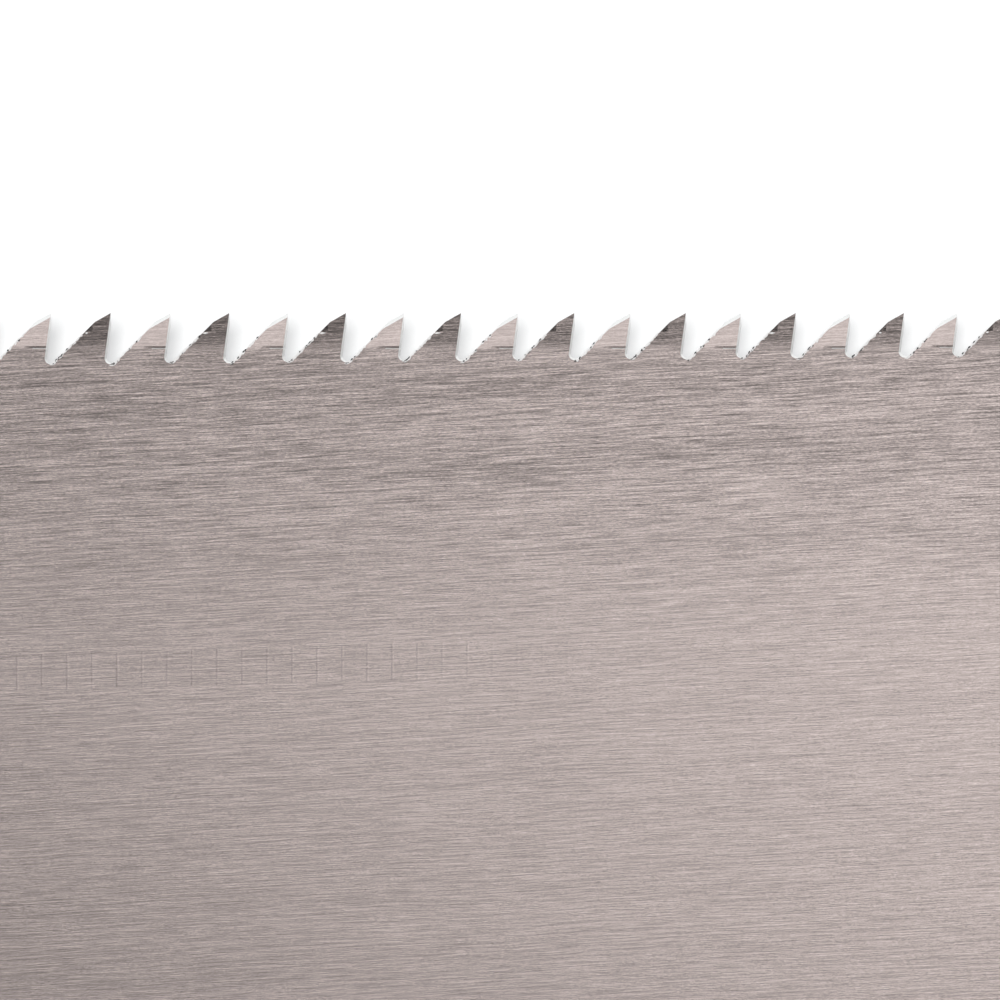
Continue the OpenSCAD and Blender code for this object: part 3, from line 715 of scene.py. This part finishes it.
holder_front, holder_back = -54.0, 106.0
plate_half, plate_thick, gap_half, holder_corner = 10.5, 1.2, 0.3, 6.0
rivet_x, rivet_y, pin_places = -8.8, 5.5, (56, 96)
holder_steel = ground_steel("satin_holder_steel", (0.62, 0.62, 0.615), (0.006, 0.00016), 0.08, 0.30, 0.000012)
corner_x, corner_y = holder_front + holder_corner, plate_half - holder_corner
holder_line = ([(holder_back, -plate_half), (holder_back, plate_half)]
               + arc_points(corner_x, corner_y, holder_corner, 90, 180, 14)
               + arc_points(corner_x, -corner_y, holder_corner, 180, 270, 14))
rivet_holes = [circle_line(rivet_x, side * rivet_y, 1.53, 24) for side in (-1, 1)]
rivet_holes += [circle_line(x, 0, 2.03, 24) for x in pin_places]
plate_holes = [circle_line(hook_x, 0, 2.53, 32), circle_line(screw_x, 0, 2.75, 32)] + rivet_holes
for name, low in (("upper", blade_z + gap_half), ("lower", blade_z - gap_half - plate_thick)):
    sheet = pressed_sheet(f"pressed_plate_{name}", holder_line, plate_holes, low, low + plate_thick, 0.22)
    new_piece(f"pressed_plate_{name}", sheet, holder_steel, "handle", "holder_steel", f"holder_plate_{name}")

swing_room, spacer_front = 9.8, -14.0
mouth_angle = math.degrees(math.acos((spacer_front - hook_x) / swing_room))
spacer_line = ([(holder_back, -plate_half), (holder_back, plate_half), (spacer_front, plate_half)]
               + [(spacer_front, swing_room * math.sin(math.radians(mouth_angle)))]
               + arc_points(hook_x, 0, swing_room, mouth_angle, -mouth_angle, 16)[1:]
               + [(spacer_front, -plate_half)])
sheet = pressed_sheet("parting_strip", spacer_line, rivet_holes, blade_z - gap_half, blade_z + gap_half, 0.05)
new_piece("parting_strip", sheet, holder_steel, "handle", "holder_steel", "holder_spacer")


# Pins and rivets
# Cold-headed steel: the hook pin over which the tang is hooked, two rivets behind it, and two
# long pins through the handle, cut flush under the cane. One turned shape is set at each place.
def turned(name, profile, steps=40):
    """A round solid from its profile, a list of (radius, height) from the bottom to the top."""
    bm = bmesh.new()
    skin(bm, [add_ring(bm, [(*p, z) for p in (circle_line(0, 0, r, steps) if r else [(0, 0)])]) for r, z in profile])
    return settle(bm, name, 35)


def set_in_place_tree():
    tree, given = new_tree("set_in_each_hole", {"Turned piece": "Object", "Steel": "Material"})
    return end_tree(tree, set_on_points(tree, given, "Turned piece", Rotation=read(tree, "turn")), given["Steel"])


def set_turned(name, profile, places, steel, *nodes, slot="pin_steel", turns=None, steps=40):
    """One turned shape at each of several places, as one piece on the handle."""
    seats = data_mesh(name, places, turn=turns or [(0, 0, 0)] * len(places))
    mesh = grow(seats, place_tree, {"Turned piece": turned(name + "_shape", profile, steps), "Steel": steel})
    new_piece(name, mesh, steel, "handle", slot, *nodes)


def headed_profile(r, grip, head_r, rise):
    """A shank with a low domed head at both ends."""
    dome = [(head_r * math.cos(a), rise * (0.25 + 0.75 * math.sin(a))) for a in np.radians(range(0, 91, 10))]
    up = [(r, grip / 2 - 0.01), (head_r - 0.08, grip / 2 + 0.01), (head_r, grip / 2 + 0.08)]
    up += [(x, grip / 2 + z) for x, z in dome[:-1]] + [(0, grip / 2 + rise)]
    return [(x, -z) for x, z in reversed(up)] + up


place_tree = set_in_place_tree()
pin_steel = ground_steel("headed_pin_steel", (0.58, 0.57, 0.56), (0.0009, 0.0002), 0.06, 0.27, 0.00001)
holder_grip, pin_end, pin_r, pin_bevel = 3.0, 10.3, 2, 0.3
set_turned("domed_hook_pin", headed_profile(2.5, holder_grip, 3.7, 0.7), [(hook_x, 0, blade_z)], pin_steel,
           "hook_pin")
set_turned("domed_rivets", headed_profile(1.5, holder_grip, 2.4, 0.9),
           [(rivet_x, side * rivet_y, blade_z) for side in (-1, 1)], pin_steel, "holder_rivets")
pin_profile = [(pin_r, pin_end - pin_bevel), (pin_r - pin_bevel, pin_end), (0, pin_end)]
set_turned("flush_cross_pins", [(r, -z) for r, z in reversed(pin_profile)] + pin_profile,
           [(x, 0, blade_z) for x in pin_places], pin_steel, "handle_pins")


# Lock screw, washer and nut
# A nickel-plated M5 screw with a slot for a coin, the washer that rises with it, and the nut
# welded under the lower plate. Three turns of the screw free the blade.
def plated(name, color, shine):
    """Bright plate over steel, with faint pits and wiping marks."""
    look = Finish(name)
    cloud, pits = (look.node("TexNoise", {"Vector": look.where(), "Scale": scale, "Detail": detail}).outputs["Fac"]
                   for scale, detail in ((420, 3), (5200, 2)))
    tone = look.ramp(cloud, (0.25, [c * 0.9 for c in color]), (0.65, color))
    return look.end(pits, 0.000006, tone, look.fit(cloud, 0.3, 0.7, shine - 0.05, shine + 0.09), Metallic=1)


plated_steel = plated("nickel_plate", (0.74, 0.73, 0.71), 0.17)
washer_z, head_z, screw_r, thread_pitch = 13.5, 14.5, 2.42, 0.8


def screw_mesh():
    """Head with its slot cut across it, and a shank with a rolled helical thread."""
    head_high, slot_long, slot_wide, slot_deep, rim_wide = 3.2, 16, 1.5, 2.8, 0.1
    head = turned("screw_head", [(0, 0.03), (5.8, 0.03), (6.0, 0.2), (6.0, 1.75), (5.9, 1.97), (4.85, 3.05),
                                 (4.6, 3.16), (4.2, head_high), (0, head_high)], 72)
    bm = bmesh.new()
    bmesh.ops.create_cube(bm, size=1)
    for v in bm.verts:
        v.co = Vector((v.co.x * slot_long, v.co.y * slot_wide, v.co.z * slot_deep + head_high)) * MM
    body, tool = (put_in_scene(m.name, m) for m in (head, to_mesh(bm, "slot_cutter")))
    cut = body.modifiers.new("slot", "BOOLEAN")
    cut.operation, cut.solver, cut.object = "DIFFERENCE", "EXACT", tool
    rim = body.modifiers.new("rim", "BEVEL")
    rim.width, rim.segments, rim.limit_method, rim.angle_limit = rim_wide * MM, 2, "ANGLE", math.radians(50)
    cut_head = applied(body)
    for helper in (body, tool):
        bpy.data.objects.remove(helper)
    bm = bmesh.new()
    bm.from_mesh(cut_head)
    around, per_turn, tip, thread_deep = 32, 8, -8.5, 0.42
    rings = []
    for row in range(round((0.1 - tip) / thread_pitch * per_turn) + 1):
        z = tip + row * thread_pitch / per_turn
        taper_in = 0.8 + 0.2 * min(1.0, (z - tip) / 0.9)
        ring = []
        for k in range(around):
            phase = (z / thread_pitch - k / around) % 1
            ridge = max(0.0, 1 - abs(phase - 0.5) / 0.42)
            r = (screw_r - thread_deep + thread_deep * min(1.0, 1.15 * ridge)) * taper_in
            angle = 2 * math.pi * k / around
            ring.append((r * math.cos(angle), r * math.sin(angle), z))
        rings.append(add_ring(bm, ring))
    skin(bm, rings)
    bm.faces.new(reversed(rings[0]))
    bm.faces.new(rings[-1])
    for v in bm.verts:
        v.co += Vector((screw_x, 0, head_z)) * MM
    return settle(bm, "coin_screw", 20)


new_piece("coin_screw", screw_mesh(), plated_steel, "turning_screw", "plated_steel", "lock_screw")
sheet = pressed_sheet("captive_washer", circle_line(screw_x, 0, 7.5, 72), [circle_line(screw_x, 0, 2.5, 36)],
                      washer_z, head_z, 0.18)
new_piece("captive_washer", sheet, plated_steel, "rising_washer", "plated_steel", "lock_washer")

nut_top = 10.5


def nut_mesh():
    """Six-sided nut, its free corners turned down to a cone."""
    flat_r, low, bore, steps = 4.0, 6.5, 2.5, 72
    cone_r = 0.97 * flat_r
    bm = bmesh.new()
    rings = [[] for _ in range(7)]
    for k in range(steps):
        angle = 2 * math.pi * k / steps
        r = flat_r / math.cos((angle + math.pi / 6) % (math.pi / 3) - math.pi / 6)
        drop = max(0.0, r - cone_r) * math.tan(math.radians(30))
        profile = ((bore, nut_top), (r, nut_top), (r, low + drop + 0.02), (cone_r, low), (2.85, low),
                   (bore, low + 0.35), (bore, nut_top))
        for ring, (radius, z) in zip(rings, profile):
            ring += add_ring(bm, [(screw_x + radius * math.cos(angle), radius * math.sin(angle), z)])
    skin(bm, rings)
    return settle(bm, "welded_nut", 20)


new_piece("welded_nut", nut_mesh(), plated_steel, "handle", "plated_steel", "lock_nut")
weld_steel = ground_steel("weld_bead_steel", (0.40, 0.37, 0.35), (0.0005, 0.0005), 0.15, 0.42, 0.00002)
bead_deep, bead_at = 0.6, 4.25
bead = [(0, -bead_deep)]
bead += [(1.3 * math.cos(a), -bead_deep * math.sin(a)) for a in np.radians(range(75, -1, -15))]
bead += [(1.2, 0.05), (0, 0.05)]
set_turned("weld_beads", bead,
           [(screw_x + bead_at * math.cos(a), bead_at * math.sin(a), nut_top) for a in np.radians((0, 120, 240))],
           weld_steel, slot="plated_steel", steps=24)


# Ferrule and its tacks
# A cap drawn from 0.8 mm steel over the front of the handle, with a slot for the holder and a
# bead near its mouth, held by four round-headed tacks.
mouth_x, ferrule_end, butt_x, wrap_end = -4.0, 22.0, 326.0, 137.1
handle_w, handle_h, handle_r = 30.0, 24.0, 8.0


def around_handle(x, inset, corner_steps=10):
    """Points round the handle at x, drawn in by inset, from the +Y side over the top."""
    r = handle_r - inset
    line = []
    for quarter in range(4):
        y = handle_w / 2 - handle_r if quarter in (0, 3) else handle_r - handle_w / 2
        z = handle_h / 2 - handle_r if quarter < 2 else handle_r - handle_h / 2
        for k in range(corner_steps + 1):
            angle = math.radians(90 * quarter + 90 * k / corner_steps)
            line.append((x, y + r * math.cos(angle), blade_z + z + r * math.sin(angle)))
    return line


def ferrule_mesh():
    wall, corner, inner_corner = 0.8, 1.6, 0.6
    slot_y, slot_z = 10.55, 1.55
    outer = [(mouth_x + corner * (1 - math.sin(a)), corner * (1 - math.cos(a)))
             for a in np.radians(range(90, -1, -15))]
    outer += [(19.8, 0), (20.1, 0.05), (20.4, 0.32), (20.8, 0.32), (21.1, 0.05), (21.4, 0), (21.85, 0.05),
              (ferrule_end, 0.25)]
    inner = [(ferrule_end, 0.7), (21.7, wall), (mouth_x + wall + inner_corner, wall),
             (mouth_x + wall, wall + inner_corner)]
    bm = bmesh.new()
    rings = [add_ring(bm, around_handle(x, inset)) for x, inset in outer + inner]
    skin(bm, rings)
    slot = [(slot_y, -slot_z), (slot_y, slot_z), (-slot_y, slot_z), (-slot_y, -slot_z)]
    slot_rings = []
    for ring, x in ((rings[0], mouth_x), (rings[-1], mouth_x + wall)):
        hole = add_ring(bm, [(x, y, blade_z + z) for y, z in slot])
        fill(bm, [[Vector((v.co.y, v.co.z)) / MM for v in loop] for loop in (ring, hole)],
             lambda mid: abs(mid.x) > slot_y or abs(mid.y - blade_z) > slot_z, ring + hole)
        slot_rings.append(hole)
    skin(bm, slot_rings)
    return settle(bm, "drawn_ferrule", 30)


ferrule_steel = ground_steel("drawn_ferrule_steel", (0.66, 0.65, 0.63), (0.004, 0.0002), 0.06, 0.26, 0.000008)
new_piece("drawn_ferrule", ferrule_mesh(), ferrule_steel, "handle", "ferrule_steel", "ferrule")
tack_r, tack_x, tack_z = 1.3, 15, 2.4
tack_profile = [(0, -4.3), (0.7, -2.9), (0.7, -0.05), (1.25, -0.02), (tack_r, 0.04)]
tack_profile += [(tack_r * math.cos(a), 0.05 + 0.5 * math.sin(a)) for a in np.radians(range(10, 81, 10))]
tack_sides = [(y, z) for y in (-1, 1) for z in (-1, 1)]
set_turned("round_headed_tacks", tack_profile + [(0, 0.55)],
           [(tack_x, y * handle_w / 2, blade_z + z * tack_z) for y, z in tack_sides], pin_steel, "ferrule_tacks",
           turns=[(-math.pi / 2 * y, 0, 0) for y, z in tack_sides], steps=28)


# Handle halves
# Two halves of pale, straight-grained wood glued round the holder, cut away for the ferrule and
# for the cane, planed along the grain and rounded at the butt.
def wood(name, pale, dark):
    """Straight grain along X, with fine pores; the rings show as arcs on the butt."""
    look = Finish(name)
    calc, noise, fit, where = look.calc, look.noise, look.fit, look.where()
    drift = noise((7, 40, 40), 2, where, output="Color")
    bend = look.node("VectorMath", {0: drift, 1: (0, 0.004, 0.004), 2: where}, operation="MULTIPLY_ADD")
    split = look.node("SeparateXYZ", {"Vector": bend.outputs["Vector"]}).outputs
    away_y, away_z = calc("ADD", split["Y"], 0.031), calc("ADD", split["Z"], -0.052)
    radius = calc("SQRT", calc("ADD", calc("MULTIPLY", away_y, away_y), calc("MULTIPLY", away_z, away_z)))
    slow = noise((2.2, 30, 30), 1, where)
    ring = calc("FRACT", calc("ADD", calc("MULTIPLY", radius, 640), calc("MULTIPLY", slow, 3.0)))
    late = fit(ring, 0.35, 0.97, smooth=True)
    fibre = noise((60, 5200, 5200), 3, where)
    pores = fit(noise((130, 9000, 9000), 1, where), 0.30, 0.36)
    amount = calc("ADD", calc("MULTIPLY", late, 0.55), calc("MULTIPLY", calc("SUBTRACT", fibre, 0.5), 0.9))
    grain = look.mix(amount, (*pale, 1), (*dark, 1))
    specked = look.mix(calc("SUBTRACT", 1.0, pores), grain, (0.72, 0.62, 0.52, 1), blend_type="MULTIPLY")
    rough = calc("ADD", 0.46, calc("MULTIPLY", fibre, 0.16))
    return look.end(calc("ADD", fibre, calc("MULTIPLY", pores, 0.5)), 0.00006, specked, rough)


def half_mesh(name, side):
    """One half: side is 1 above the glue line and -1 below it."""
    seat, seat_corner, core, butt_r = 0.85, 0.3, 1.7, 5
    steps = [(mouth_x + seat, seat + seat_corner), (mouth_x + seat + seat_corner, seat), (ferrule_end - 0.1, seat),
             (ferrule_end, core - 0.1), (ferrule_end + 0.1, core), (wrap_end - 0.1, core), (wrap_end, core - 0.15),
             (wrap_end, 0.45), (wrap_end + 0.12, 0.15), (wrap_end + 0.5, 0.0)]
    steps += [(x, 0) for x in np.linspace(150, butt_x - butt_r, 16)]
    steps += [(butt_x - butt_r + butt_r * math.sin(a), butt_r - butt_r * math.cos(a))
              for a in np.radians(range(10, 91, 10))]
    bm = bmesh.new()
    rings = []
    for x, inset in steps:
        line = around_handle(x, inset, 12)
        half = line[:len(line) // 2] if side > 0 else line[len(line) // 2:]
        rings.append(add_ring(bm, [(x, half[0][1], blade_z), *half, (x, half[-1][1], blade_z)]))
    skin(bm, rings)
    bm.faces.new(rings[0])
    bm.faces.new(rings[-1])
    return settle(bm, name, 38)


pale_wood = wood("straight_grained_wood", (0.78, 0.60, 0.38), (0.60, 0.40, 0.21))
for name, side in (("upper", 1), ("lower", -1)):
    new_piece(f"planed_half_{name}", half_mesh(f"planed_half_{name}", side), pale_wood, "handle", "pale_wood",
              f"handle_half_{name}")


# Rattan wrap
# One length of split cane, waxy skin outwards, wound tightly 24 times round the sunk part of the
# handle from the middle of its underside, with both ends tucked into the wood.
cane_wide, cane_thick, cane_step, cane_turns, cane_start = 4.1, 1.2, 4.6, 24, 24.35


def cane_path_tree():
    tree, given = new_tree("cane_round_the_handle", {"Cane section": "Object", "Cane": "Material"})
    line = add_node(tree, "GeometryNodeMeshToCurve", {"Mesh": given["Geometry"]}).outputs["Curve"]
    upright = add_node(tree, "GeometryNodeSetCurveNormal", {"Curve": line, "Normal": read(tree, "outward")},
                       mode="FREE").outputs["Curve"]
    shape = add_node(tree, "GeometryNodeObjectInfo", {"Object": given["Cane section"]}).outputs["Geometry"]
    section = add_node(tree, "GeometryNodeMeshToCurve", {"Mesh": shape}).outputs["Curve"]
    sweep = add_node(tree, "GeometryNodeCurveToMesh", {"Curve": upright, "Profile Curve": section, "Fill Caps": True})
    return end_tree(tree, sweep.outputs["Mesh"], given["Cane"])


def cane_mesh(material):
    """The wound cane, with attributes along and across it for its fibres and joints."""
    inset, corner_steps, samples, sway_most, tuck = 1.4, 8, 44, 0.07, 0.42
    core_y, core_z = 7.0, 4.0
    loop = [Vector(p) for p in around_handle(0, inset, corner_steps)]
    # The loop starts at the middle of the underside and runs up the +Y side.
    loop = [Vector((0, 0, blade_z - handle_h / 2 + inset))] + loop[-corner_steps - 1:] + loop[:-corner_steps - 1]
    lengths = [0.0]
    for a, b in zip(loop, loop[1:] + loop[:1]):
        lengths.append(lengths[-1] + (b - a).length)
    total = lengths[-1]
    rng = random.Random(5)
    sway = [rng.uniform(-sway_most, sway_most) for _ in range(cane_turns + 2)]
    points, outs, alongs = [], [], []
    for step in range(-2, cane_turns * samples + 3):
        share = step / samples
        at = (share % 1) * total
        k = max(n for n in range(len(loop)) if lengths[n] <= at + 1e-9)
        a, b = loop[k], loop[(k + 1) % len(loop)]
        p = a.lerp(b, (at - lengths[k]) / max(1e-9, (b - a).length))
        near_y = max(-core_y, min(core_y, p.y))
        near_z = max(blade_z - core_z, min(blade_z + core_z, p.z))
        out = Vector((0, p.y - near_y, p.z - near_z)).normalized()
        turn = min(cane_turns, max(0, int(share)))
        frac = min(1.0, max(0.0, share - turn))
        shift = sway[turn] * (1 - frac) + sway[turn + 1] * frac
        sink = max(0.0, 2.5 - step, step - (cane_turns * samples - 2.5)) * tuck
        x = cane_start + cane_step * share + (shift if 0 < share < cane_turns else 0)
        points.append(Vector((x, p.y, p.z)) - out * sink)
        outs.append(out)
        alongs.append(share * total * MM)
    path = data_mesh("cane_path", points, [(k, k + 1) for k in range(len(points) - 1)], outward=outs, along=alongs)
    half_skin = [(-0.84, 0.02), (-0.97, 0.22), (-1.0, 0.45), (-0.93, 0.66), (-0.78, 0.84), (-0.5, 0.96), (-0.2, 1.0)]
    skin_line = [(-0.84, 0.02), (-0.5, 0), (0, 0), (0.5, 0)] + [(-u, v) for u, v in half_skin] + half_skin[:0:-1]
    section = data_mesh("cane_section", [(v * cane_thick, u * cane_wide / 2, 0) for u, v in skin_line],
                        [(k, (k + 1) % len(skin_line)) for k in range(len(skin_line))],
                        across=[u for u, v in skin_line], skin=[v for u, v in skin_line])
    return grow(path, cane_path_tree(), {"Cane section": section, "Cane": material})


def cane_finish():
    """Split rattan: fine fibres along it, pale waxy skin, painted shade along its edges where the turns meet, and a
    joint now and then.
    """
    look = Finish("split_rattan")
    calc = look.calc
    along, across, depth = (look.node("Attribute", attribute_name=name).outputs["Fac"]
                            for name in ("along", "across", "skin"))
    where = look.node("CombineXYZ", {"X": calc("MULTIPLY", along, 90), "Y": calc("MULTIPLY", across, 9),
                                     "Z": calc("MULTIPLY", depth, 4)}).outputs["Vector"]
    fibre = look.node("TexNoise", {"Scale": 1, "Detail": 3, "Vector": where}).outputs["Fac"]
    cloud = look.node("TexNoise", {"Scale": 14, "W": along}, noise_dimensions="1D").outputs["Fac"]
    joint = calc("ABSOLUTE", calc("SUBTRACT", calc("FRACT", calc("MULTIPLY_ADD", along, 4.7, 0.31)), 0.5))
    ring = look.fit(joint, 0.0015, 0.007, 1, 0, smooth=True)
    edge = look.fit(calc("ABSOLUTE", across), 0.80, 1.0)
    level = calc("ADD", fibre, calc("MULTIPLY", calc("SUBTRACT", cloud, 0.5), 0.5))
    tone = look.ramp(level, (0.30, (0.50, 0.31, 0.12)), (0.72, (0.82, 0.62, 0.33)), (0.5, (0.72, 0.51, 0.24)))
    # Painted shade along both edges of the cane, where one turn meets the next, joined with the darker joints.
    shadow = calc("MAXIMUM", calc("MULTIPLY", edge, 0.75), calc("MULTIPLY", ring, 0.85))
    darker = look.mix(shadow, tone, (0.50, 0.36, 0.22, 1), blend_type="MULTIPLY")
    rough = calc("ADD", 0.28, calc("MULTIPLY", fibre, 0.2))
    return look.end(calc("ADD", fibre, calc("MULTIPLY", ring, 1.2)), 0.00012, darker, rough,
                    Coat_Weight=0.25, Coat_Roughness=0.25)


rattan = cane_finish()
bm = bmesh.new()
bm.from_mesh(cane_mesh(rattan))
new_piece("wound_cane", settle(bm, "wound_cane", 60), rattan, "handle", "rattan", "rattan_wrap")


# Light, floor and flag
# A bright floor, a sun lamp that gives the soft shadow beside each tooth, and a card overhead
# that only the steel mirrors, dark on one side and bright on the other, as in a product studio.
def bare_tree(owner):
    """The emptied node tree of a material or a world."""
    owner.use_nodes = True
    owner.node_tree.nodes.clear()
    return owner.node_tree


def seen_by_camera(tree):
    """1 where the camera sees the surface, straight or in metal or glass, and 0 for other light."""
    rays = tree.nodes.new("ShaderNodeLightPath").outputs
    seen = rays["Is Camera Ray"]
    for label in ("Is Glossy Ray", "Is Transmission Ray"):
        seen = add_node(tree, "ShaderNodeMath", {0: seen, 1: rays[label]}, operation="MAXIMUM").outputs[0]
    return seen


floor_half = 30
floor_mesh = bpy.data.meshes.new("studio_floor")
floor_mesh.from_pydata([(x * floor_half, y * floor_half, 0) for x, y in ((-1, -1), (1, -1), (1, 1), (-1, 1))],
                       [], [(0, 1, 2, 3)])
studio_floor = put_in_scene("studio_floor", floor_mesh)
floor_paint = bpy.data.materials.new("white_floor")
floor_mesh.materials.append(floor_paint)
tree = bare_tree(floor_paint)
paint = add_node(tree, "ShaderNodeBsdfDiffuse", {"Color": (0.8, 0.8, 0.8, 1)}).outputs[0]
level = add_node(tree, "ShaderNodeMath", {0: seen_by_camera(tree), 1: 0.40}, operation="MULTIPLY").outputs[0]
glow = add_node(tree, "ShaderNodeEmission", {"Color": (0.955, 1.0, 1.015, 1), "Strength": level}).outputs[0]
both = add_node(tree, "ShaderNodeAddShader", {0: paint, 1: glow}).outputs[0]
add_node(tree, "ShaderNodeOutputMaterial", {"Surface": both})

world = bpy.data.worlds.new("studio")
bpy.context.scene.world = world
tree = bare_tree(world)
level = add_node(tree, "ShaderNodeMapRange", {"Value": seen_by_camera(tree), "To Min": 0.5, "To Max": 1.0})
sky = add_node(tree, "ShaderNodeBackground", {"Strength": level.outputs["Result"]}).outputs[0]
add_node(tree, "ShaderNodeOutputWorld", {"Surface": sky})

lamp_data = bpy.data.lights.new("high_lamp", "SUN")
lamp_data.angle, lamp_data.energy = math.radians(6.8), 1.7
high_lamp = put_in_scene("high_lamp", lamp_data)
high_lamp.rotation_euler = Vector((-0.052, 0.050, 2.2)).to_track_quat("Z", "Y").to_euler()
high_lamp.visible_glossy = False

# Each band of the card runs from one Y to another, and glows by steps along X.
flag_rise = 0.375
flag_bands = [
    (-1.2, -0.097, [(-1.4, 0.0), (-0.093, 0.0), (0.0, 0.26), (0.055, 0.66), (0.093, 1.3), (0.28, 0.05), (1.2, 0.0)]),
    (-0.097, -0.02, [(-1.4, 0.79), (-0.093, 0.79), (0.0, 1.0), (0.037, 1.0), (0.093, 1.15), (0.32, 1.0)]),
    (-0.02, 0.065, [(-1.4, 0.36), (-0.093, 0.36), (-0.037, 0.58), (0.037, 0.94), (0.093, 1.62), (0.19, 2.0),
                    (0.34, 1.05)]),
    (0.065, 0.105, [(-1.4, 0.0), (-0.093, 0.0), (0.0, 0.40), (0.055, 0.8), (0.093, 1.3), (0.32, 1.0)]),
    (0.105, 0.45, [(-1.4, 1.0), (-0.093, 1.23), (0.093, 1.23), (0.32, 1.0)]),
]
corners, glows = [], []
for low, high, steps in flag_bands:
    for (x0, g0), (x1, g1) in zip(steps, steps[1:]):
        corners += [(x0, low), (x1, low), (x1, high), (x0, high)]
        glows += [g0, g1, g1, g0]
flag_mesh = bpy.data.meshes.new("overhead_flag")
flag_mesh.from_pydata([view_middle + Vector((x, y, 1)) * flag_rise for x, y in corners], [],
                      [tuple(range(k, k + 4)) for k in range(0, len(corners), 4)])
flag_mesh.attributes.new("glow", "FLOAT", "POINT").data.foreach_set("value", glows)
overhead_flag = put_in_scene("overhead_flag", flag_mesh)
for ray in ("camera", "diffuse", "shadow", "transmission", "volume_scatter"):
    setattr(overhead_flag, "visible_" + ray, False)
flag_cloth = bpy.data.materials.new("flag_cloth")
flag_mesh.materials.append(flag_cloth)
tree = bare_tree(flag_cloth)
shade = add_node(tree, "ShaderNodeAttribute", attribute_name="glow").outputs["Fac"]
cloth = add_node(tree, "ShaderNodeEmission", {"Strength": shade}).outputs[0]
add_node(tree, "ShaderNodeOutputMaterial", {"Surface": cloth})
